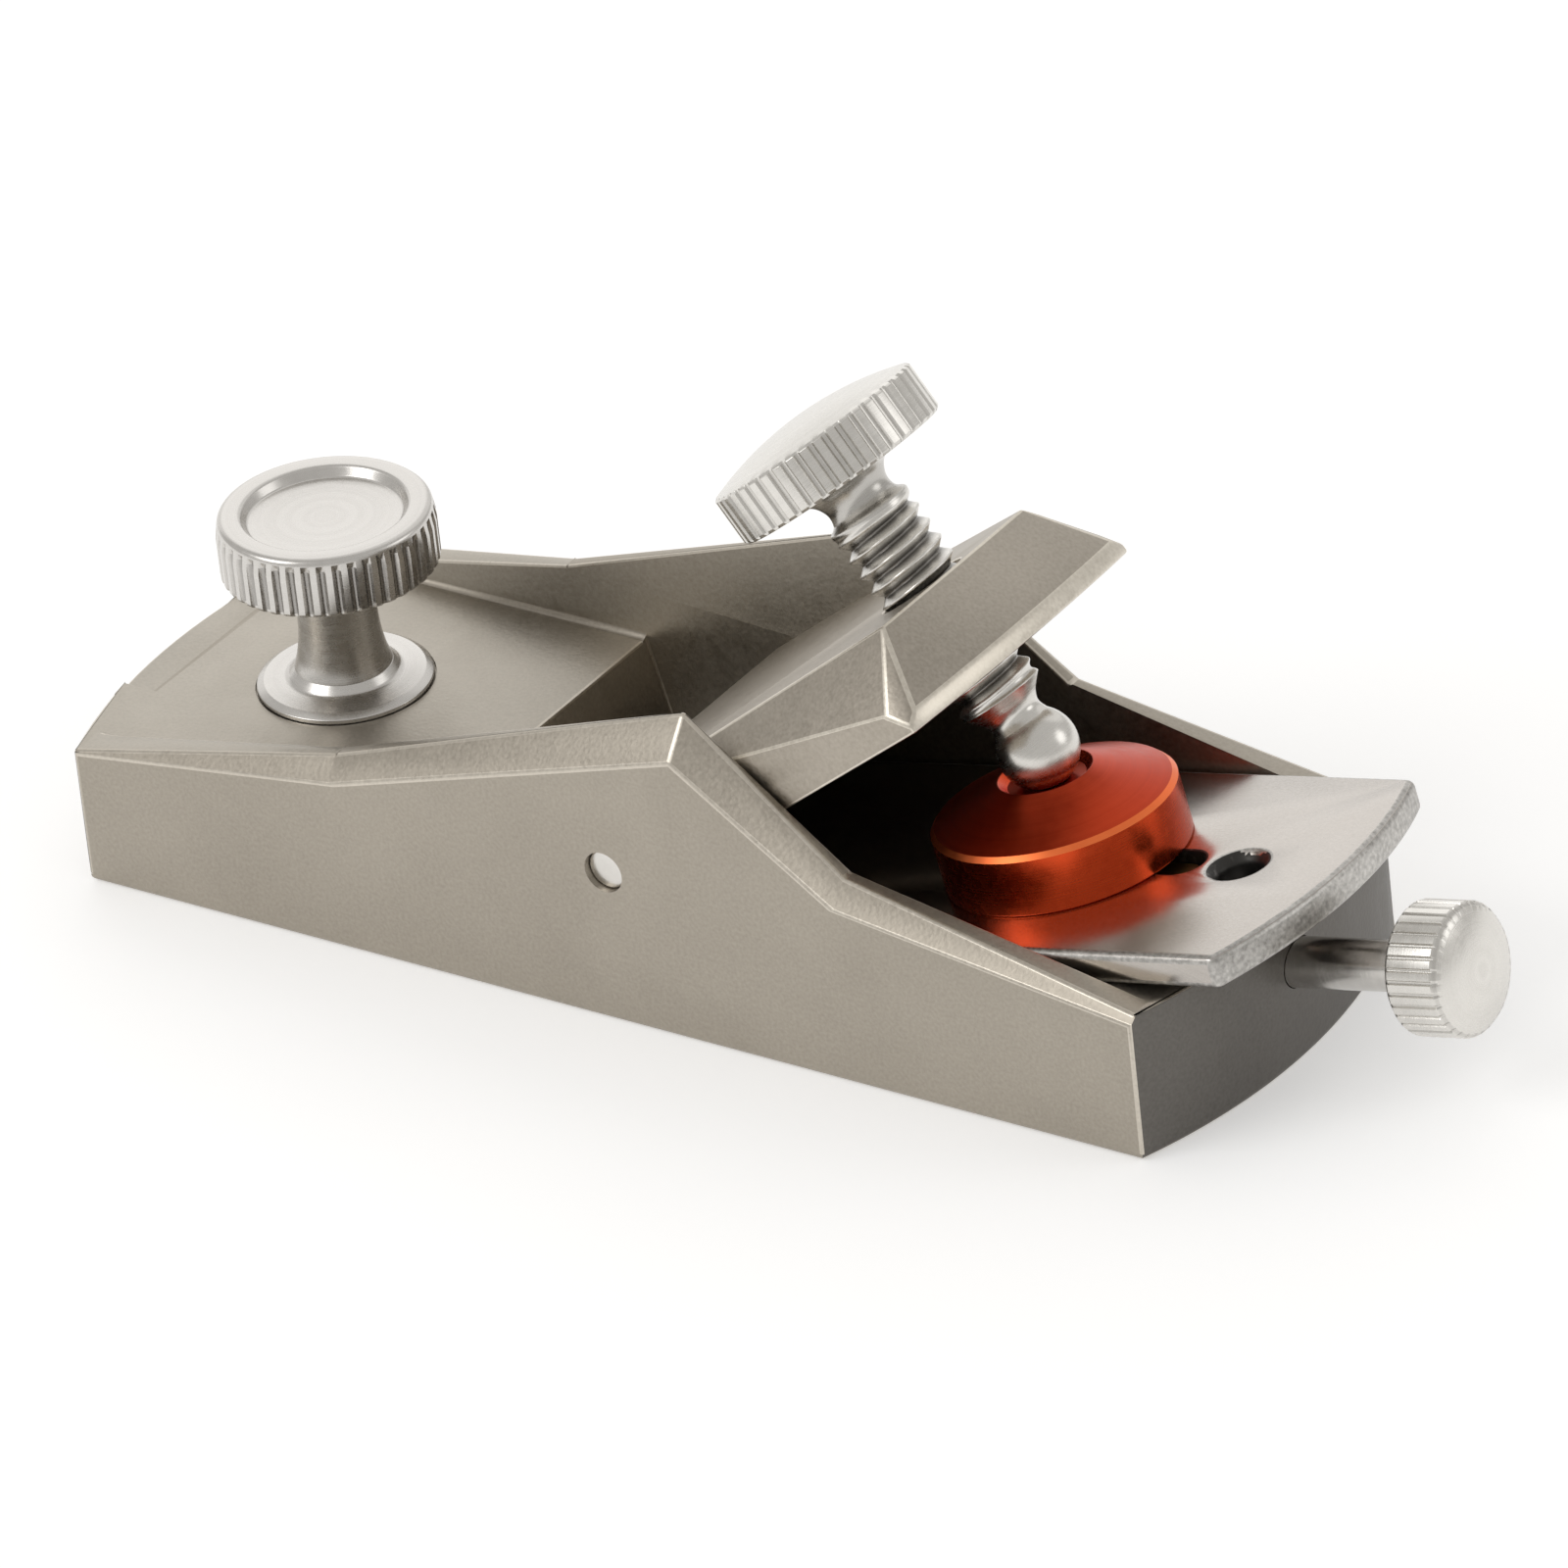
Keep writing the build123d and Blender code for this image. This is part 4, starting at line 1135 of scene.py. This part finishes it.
@dataclass
class Clamp:
    """The clamp screw, the pressure disc under its ball, and the disc's magnet.

    Attributes:
        ball: radius of the ball.
        waist: radius and height of the waist.
        thread: the screw's thread.
        cove: radius and height of the cove under the knob.
        knob_radius: radius of the knob.
        knob_under: height of the knob's underside.
        knob_rim: thickness of its rim.
        knob_dome: rise of its dome.
        flutes: how many flutes there are.
        flute_depth: their depth.
        ball_height: height of the ball's centre above the blade.
        disc_radius: radius of the disc.
        disc_rim: height of its cylinder.
        disc_height: its whole height.
        mouth: radius of the socket's mouth.
        mouth_depth: how far the socket's mouth is flared, down and inwards.
        bore: radius of the magnet's bore.
        bore_depth: its depth.
        clearance: the gap between the ball and its socket.
    """

    ball: float = 4.5
    waist: Point = (3.0, 4.1)
    thread: Thread = field(default_factory=lambda: Thread(4.8, 0.9, 2.0, 6.8, 30.2, Hand.RIGHT, 1.2))
    cove: Point = (3.8, 32.8)
    knob_radius: float = 12.5
    knob_under: float = 35.2
    knob_rim: float = 5.8
    knob_dome: float = 2.1
    flutes: int = 44
    flute_depth: float = 0.36
    ball_height: float = 13.05
    disc_radius: float = 13.5
    disc_rim: float = 7.0
    disc_height: float = 10.3
    mouth: float = 5.2
    mouth_depth: float = 0.9
    bore: float = 3.03
    bore_depth: float = 8.03
    clearance: float = 0.08

    def build(self) -> None:
        """Builds and dresses the pieces."""
        axle = Axle.of_joint("clamp_turn")
        self.screw(axle)
        self.disc(axle)
        upright = Axle(axle.origin, Vector((0, 0, 1)))
        nickel = Turned("magnet_nickel", (0.66, 0.66, 0.65), (0.5, 0.5, 0.5), 0.2, upright)
        dress(frame["nodes"]["disc_magnet"], nickel.material())

    def screw(self, axle: Axle) -> None:
        """Builds the ball, the waist, the threaded stem and the knob in one piece.

        Args:
            axle: the screw's axis, from the ball's centre to the knob.
        """
        turns = [radians(angle) for angle in range(-90, 43, 4)]
        ball = [(self.ball * sin(a), self.ball * cos(a)) for a in turns]
        crest = self.thread.crest
        waist = curve(
            [
                ball[-1],
                (self.waist[1], self.waist[0]),
                (self.waist[1] + 1.0, self.waist[0] + 0.35),
                (self.waist[1] + 1.9, self.waist[0] + 1.1),
                (6.7, crest),
            ]
        )
        stem = [(height, crest) for height in self.thread.heights()]
        cove = curve(
            [
                (self.thread.end, crest),
                (self.thread.end + 0.5, crest - 0.05),
                (self.thread.end + 1.2, self.cove[0] + 0.12),
                (self.cove[1], self.cove[0]),
                (self.knob_under - 0.9, crest - 0.1),
                (self.knob_under, crest + 1.9),
            ]
        )
        top = self.knob_under + self.knob_rim
        r = self.knob_radius
        rim = rounded(
            [
                (self.knob_under, crest + 1.9, 0),
                (self.knob_under, r - 0.35, 0.15),
                (self.knob_under + 0.35, r, 0.15),
                (top - 0.3, r, 0.15),
                (top, r - 0.3, 0),
            ],
            3,
        )
        crown = dome(r - 0.3, top, self.knob_dome - 0.02)
        profile = [(-self.ball, 0.0), *ball[1:], *waist[1:], *stem, *cove[1:], *rim[1:], *crown[1:]]
        grooves = Flutes(self.flutes, self.flute_depth, 0.22, r)
        knob = Lathe(
            "threaded_clamp_screw",
            profile,
            axle,
            self.flutes * 8,
            grooves,
            (self.knob_under, top),
            self.thread,
        ).build()
        steel = Turned(
            "clamp_steel",
            (0.79, 0.77, 0.73),
            (0.63, 0.61, 0.575),
            0.27,
            axle,
            grooves=(
                # painted shade in the flutes, in the thread's valleys and in the cove under the knob
                Groove.of(r, self.flute_depth, self.knob_under + 0.3, top - 0.25, 0.15),
                Groove.of(crest, self.thread.depth, self.thread.start, self.thread.end, 0.75),
                Groove.of(crest + 1.0, 1.6, self.thread.end, self.knob_under - 0.1, 0.3),
            ),
        )
        dress(knob, steel.material())
        fit(knob, Body.CLAMP, "clamp_screw")

    def disc(self, axle: Axle) -> None:
        """Builds the pressure disc, with its socket and the magnet's bore.

        Args:
            axle: the screw's axis, through the ball's centre.
        """
        bed = Axle.of_joint("depth_feed").direction
        up = bed.cross(Vector((0, 1, 0)))
        foot = Axle(axle.origin - up * self.ball_height * MM, up)
        socket = self.ball + self.clearance
        mouth_at = self.disc_height - self.mouth_depth
        angle_span = [radians(a) for a in range(-40, -89, -4)]
        profile = rounded(
            [
                (self.bore_depth, 0, 0),
                (self.bore_depth, self.bore, 0),
                (0.0, self.bore, 0),
                (0.0, self.disc_radius - 0.25, 0.2),
                (0.25, self.disc_radius, 0.2),
                (self.disc_rim - 0.55, self.disc_radius, 0),
                (self.disc_rim, self.disc_radius - 0.55, 0),
                (self.disc_height, self.mouth, 0.25),
                (mouth_at, self.mouth - self.mouth_depth, 0.1),
            ],
            4,
        )
        seat = [
            (self.ball_height + socket * sin(a), socket * cos(a))
            for a in angle_span
            if self.ball_height + socket * sin(a) < mouth_at - 0.02
        ]
        profile = [*profile, *seat, (self.ball_height - socket, 0.0)]
        disc = Lathe("anodised_pressure_disc", profile, foot, 192, crease=14.0).build()
        marks = 6000.0
        finishes = (
            Turned("orange_anodised", (0.86, 0.105, 0.030), (0.62, 0.055, 0.014), 0.27, foot, marks, 6e-6),
            # painted shade: a darker copy of the anodising for the disc's top
            Turned("orange_cone_painted_shade", (0.60, 0.066, 0.022), (0.42, 0.036, 0.010), 0.34, foot, marks, 5e-6),
            # painted highlight: a brighter copy of the anodising for the chamfer round the top
            Turned("orange_edge_painted_highlight", (1.0, 0.26, 0.08), (0.90, 0.16, 0.05), 0.34, foot, marks, 3e-6),
        )
        # the disc's top takes the painted shade
        repaint(disc, 1, lambda face: face.normal.dot(up) > 0.85)
        # the chamfer round the disc's top takes the painted highlight
        repaint(
            disc,
            2,
            lambda face: 0.6 < face.normal.dot(up) < 0.8 and self.on_edge(face.center - foot.origin, up),
        )
        dress(disc, *(finish.material() for finish in finishes))
        fit(disc, Body.DISC, "pressure_disc")

    def on_edge(self, arm: Vector, up: Vector) -> bool:
        """Tells whether a point lies on the broken edge of the disc.

        Args:
            arm: the point, from the middle of the disc's foot.
            up: the disc's axis.

        Returns:
            Whether it does.
        """
        height = arm.dot(up)
        return (arm - up * height).length > (self.disc_radius - 0.6) * MM


@dataclass
class Iron:
    """The blade with its adjuster's carriage and drive dog.

    Attributes:
        arris: width of the blade's edge breaks.
        hole_half: half the width of the holes.
        hole_start: how far along the bed the round hole starts.
        rear: how far along the bed the rear edge starts.
    """

    arris: float = 0.3
    hole_half: float = 3.0
    hole_start: float = 50.0
    rear: float = 75.0

    def build(self) -> None:
        """Builds and dresses the pieces."""
        bed = Axle.of_joint("depth_feed").direction
        slope = -Vector((bed.x, bed.z)).angle_signed(Vector((1, 0)))
        blade = with_arrises("blade", "ground_blade", self.arris)
        steel = Ground("blade_steel", (0.56, 0.525, 0.49), (0.42, 0.39, 0.36), 0.22, slope)
        edge = Blasted("blade_edge", (0.66, 0.64, 0.61), (0.24, 0.23, 0.215), 0.36, 1900.0, 0.00005)
        up = bed.cross(Vector((0, 1, 0)))
        rear = self.rear * MM
        repaint(blade, 1, lambda face: abs(face.normal.dot(up)) < 0.3 and face.center.dot(bed) > rear)
        # painted shade: the walls of the blade's holes get a near-black finish
        dark = Blackened("blade_hole_painted_shade", (0.05, 0.048, 0.045), (0.20, 0.19, 0.18))
        repaint(
            blade,
            2,
            lambda face: abs(face.normal.dot(up)) < 0.95
            and abs(face.center.y) < self.hole_half * MM
            and self.hole_start * MM < face.center.dot(bed) < rear,
        )
        dress(blade, steel.material(), edge.material(), dark.material())
        fit(blade, Body.IRON, "blade")
        brass = Ground("machined_brass", (0.70, 0.50, 0.22), (0.50, 0.34, 0.13), 0.3)
        dress(frame["nodes"]["drive_dog"], brass.material())
        dress(frame["nodes"]["adjuster_carriage"], brass.material())


@dataclass
class Adjuster:
    """The depth adjuster's screw, knob and grub screw.

    Attributes:
        joint_along: where the joint's place lies along the bed.
        front: where the thread begins along the bed.
        neck: where the neck begins and ends along the bed.
        knob: where the knob's front face lies along the bed.
        knob_length: length of the knob's rim.
        knob_dome: rise of its crown.
        knob_radius: radius of the knob.
        bore: depth of its bore.
        gap: the gap between the shaft and the bore.
        shaft: radii of the thread, the neck and the shaft.
        flutes: how many flutes there are.
        flute_depth: their depth.
        pitch: the thread's pitch.
    """

    joint_along: float = 90.0
    front: float = 69.0
    neck: Point = (84.4, 86.7)
    knob: float = 108.0
    knob_length: float = 6.4
    knob_dome: float = 1.3
    knob_radius: float = 7.2
    bore: float = 4.2
    gap: float = 0.03
    shaft: Tuple[float, float, float] = (2.5, 1.9, 2.75)
    flutes: int = 34
    flute_depth: float = 0.28
    pitch: float = 0.8

    def build(self) -> None:
        """Builds and dresses the pieces."""
        joint = Axle.of_joint("depth_turn")
        axle = Axle(joint.point(-self.joint_along * MM), joint.direction)
        thread_r, neck_r, shaft_r = self.shaft
        thread = Thread(
            thread_r, self.pitch * 0.45, self.pitch, self.front + 0.4, self.neck[0] - 0.2, Hand.LEFT, 0.5
        )
        end = self.knob + self.bore
        profile = [
            (self.front, 0.0),
            (self.front, thread_r - 0.4),
            *[(height, thread_r) for height in thread.heights()],
            *rounded(
                [
                    (self.neck[0], thread_r, 0),
                    (self.neck[0], neck_r, 0.1),
                    (self.neck[1], neck_r, 0.1),
                    (self.neck[1], shaft_r, 0.15),
                    (end, shaft_r, 0.2),
                    (end, 0, 0),
                ]
            ),
        ]
        steel = Turned("shaft_steel", (0.72, 0.70, 0.67), (0.55, 0.53, 0.50), 0.22, axle)
        screw = Lathe("adjuster_shaft", profile, axle, 72, thread=thread).build()
        dress(screw, steel.material())
        fit(screw, Body.ADJUSTER, "adjuster_screw")
        self.wheel(axle)
        dark = Blackened("grub_screw_oxide", (0.03, 0.03, 0.03), (0.14, 0.14, 0.14))
        dress(frame["nodes"]["knob_grub_screw"], dark.material())

    def wheel(self, axle: Axle) -> None:
        """Builds the fluted knob, bored for the shaft.

        Args:
            axle: the shaft's axis, measured from the bed's knife edge.
        """
        r, back = self.knob_radius, self.knob + self.knob_length
        bore_r = self.shaft[2] + self.gap
        profile = [
            (self.knob + self.bore + self.gap, 0.0),
            (self.knob + self.bore + self.gap, bore_r),
            *rounded(
                [
                    (self.knob, bore_r, 0),
                    (self.knob, r - 0.4, 0.2),
                    (self.knob + 0.4, r, 0.2),
                    (back - 0.5, r, 0.3),
                    (back + 0.1, r - 0.55, 0.3),
                ]
            ),
            *dome(r - 0.55, back + 0.1, self.knob_dome - 0.13)[1:],
        ]
        grooves = Flutes(self.flutes, self.flute_depth, 0.2, r)
        knob = Lathe(
            "fluted_adjuster_knob", profile, axle, self.flutes * 10, grooves, (self.knob, back + 0.1)
        ).build()
        steel = Turned(
            "wheel_steel",
            (0.79, 0.77, 0.73),
            (0.63, 0.61, 0.575),
            0.27,
            axle,
            # painted shade in the recesses of the flutes
            grooves=(Groove.of(r, self.flute_depth, self.knob + 0.3, back, 0.15),),
        )
        dress(knob, steel.material())
        fit(knob, Body.ADJUSTER, "adjuster_knob")


@dataclass(frozen=True)
class Softbox:
    """A round soft light that faces the object.

    Attributes:
        name: its name.
        towards: the direction it stands in.
        away: its distance, in metres.
        size: its width, in metres.
        power: its power, in watts.
    """

    name: str
    towards: Tuple[float, float, float]
    away: float
    size: float
    power: float

    def build(self) -> None:
        """Places the light."""
        lamp = bpy.data.lights.new(self.name, "AREA")
        lamp.shape = "DISK"
        lamp.size = self.size
        lamp.energy = self.power
        stand = bpy.data.objects.new(self.name, lamp)
        direction = Vector(self.towards).normalized()
        stand.location = direction * self.away
        stand.rotation_euler = direction.to_track_quat("Z", "Y").to_euler()
        bpy.context.scene.collection.objects.link(stand)


@dataclass
class Studio:
    """The floor, the lights and the camera.

    Attributes:
        azimuth: where the camera stands round the object, in degrees.
        elevation: how high it stands, in degrees.
        roll: how far it is tipped, in degrees.
        distance: how far it stands from the sole's middle, in metres.
        aim: how far it is moved right and up, in metres.
        lens: its lens, in millimetres on a 36 mm sensor.
        ambient: brightness of the surroundings.
        glow: how much light the floor gives off.
        softboxes: the lights.
    """

    azimuth: float = 36.95
    elevation: float = 30.34
    roll: float = -6.44
    distance: float = 1.66843
    aim: Tuple[float, float] = (0.00505, 0.01318)
    lens: float = 357.1
    ambient: float = 0.6
    glow: float = 0.32
    softboxes: Tuple[Softbox, ...] = (
        Softbox("key", (-0.40, -0.65, 0.66), 1.1, 0.62, 2.6),
        Softbox("side", (0.75, 0.42, 0.42), 1.2, 0.6, 0.9),
        Softbox("back", (-0.25, 0.72, 0.55), 1.6, 1.9, 2.7),
        Softbox("rear", (-0.75, 0.60, 0.22), 1.2, 1.2, 1.5),
    )

    def build(self) -> None:
        """Builds the floor, the lights and the camera."""
        self.floor()
        self.lights()
        self.camera()

    def camera(self) -> None:
        """Places the camera."""
        az, el, roll = (radians(a) for a in (self.azimuth, self.elevation, self.roll))
        back = Vector((sin(az) * cos(el), -cos(az) * cos(el), sin(el)))
        level = Vector((cos(az), sin(az), 0))
        above = back.cross(level)
        right = level * cos(roll) + above * sin(roll)
        up = above * cos(roll) - level * sin(roll)
        eye = bpy.data.cameras.new("camera")
        eye.lens = self.lens
        eye.sensor_width = 36.0
        eye.clip_end = 20.0
        stand = bpy.data.objects.new("camera", eye)
        place = Matrix((right, up, back)).transposed().to_4x4()
        place.translation = back * self.distance + right * self.aim[0] + up * self.aim[1]
        stand.matrix_world = place
        bpy.context.scene.collection.objects.link(stand)
        bpy.context.scene.camera = stand

    def floor(self) -> None:
        """Lays the floor."""
        mesh = bpy.data.meshes.new("floor")
        mesh.from_pydata([(-3, -3, 0), (3, -3, 0), (3, 3, 0), (-3, 3, 0)], [], [(0, 1, 2, 3)])
        floor = bpy.data.objects.new("floor", mesh)
        bpy.context.scene.collection.objects.link(floor)
        dress(floor, Backdrop("paper_floor", (0.9, 0.9, 0.9), self.glow).material())

    def lights(self) -> None:
        """Sets the surroundings and the softboxes."""
        world = bpy.data.worlds.new("surroundings")
        world.use_nodes = True
        sky = world.node_tree.nodes["Background"]
        sky.inputs["Color"].default_value = (1.0, 0.985, 0.96, 1.0)
        sky.inputs["Strength"].default_value = self.ambient
        bpy.context.scene.world = world
        for softbox in self.softboxes:
            softbox.build()


def main() -> None:
    """Builds every sub-assembly, then the studio."""
    logging.basicConfig(level=logging.INFO, format="%(name)s: %(message)s")
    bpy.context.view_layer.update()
    for assembly in (Stock(), FrontKnob(), LeverCap(), Clamp(), Iron(), Adjuster()):
        LOG.info("building %s", type(assembly).__name__)
        assembly.build()
    Studio().build()
    bpy.context.scene.view_settings.view_transform = "Standard"


if __name__ == "__main__":
    main()
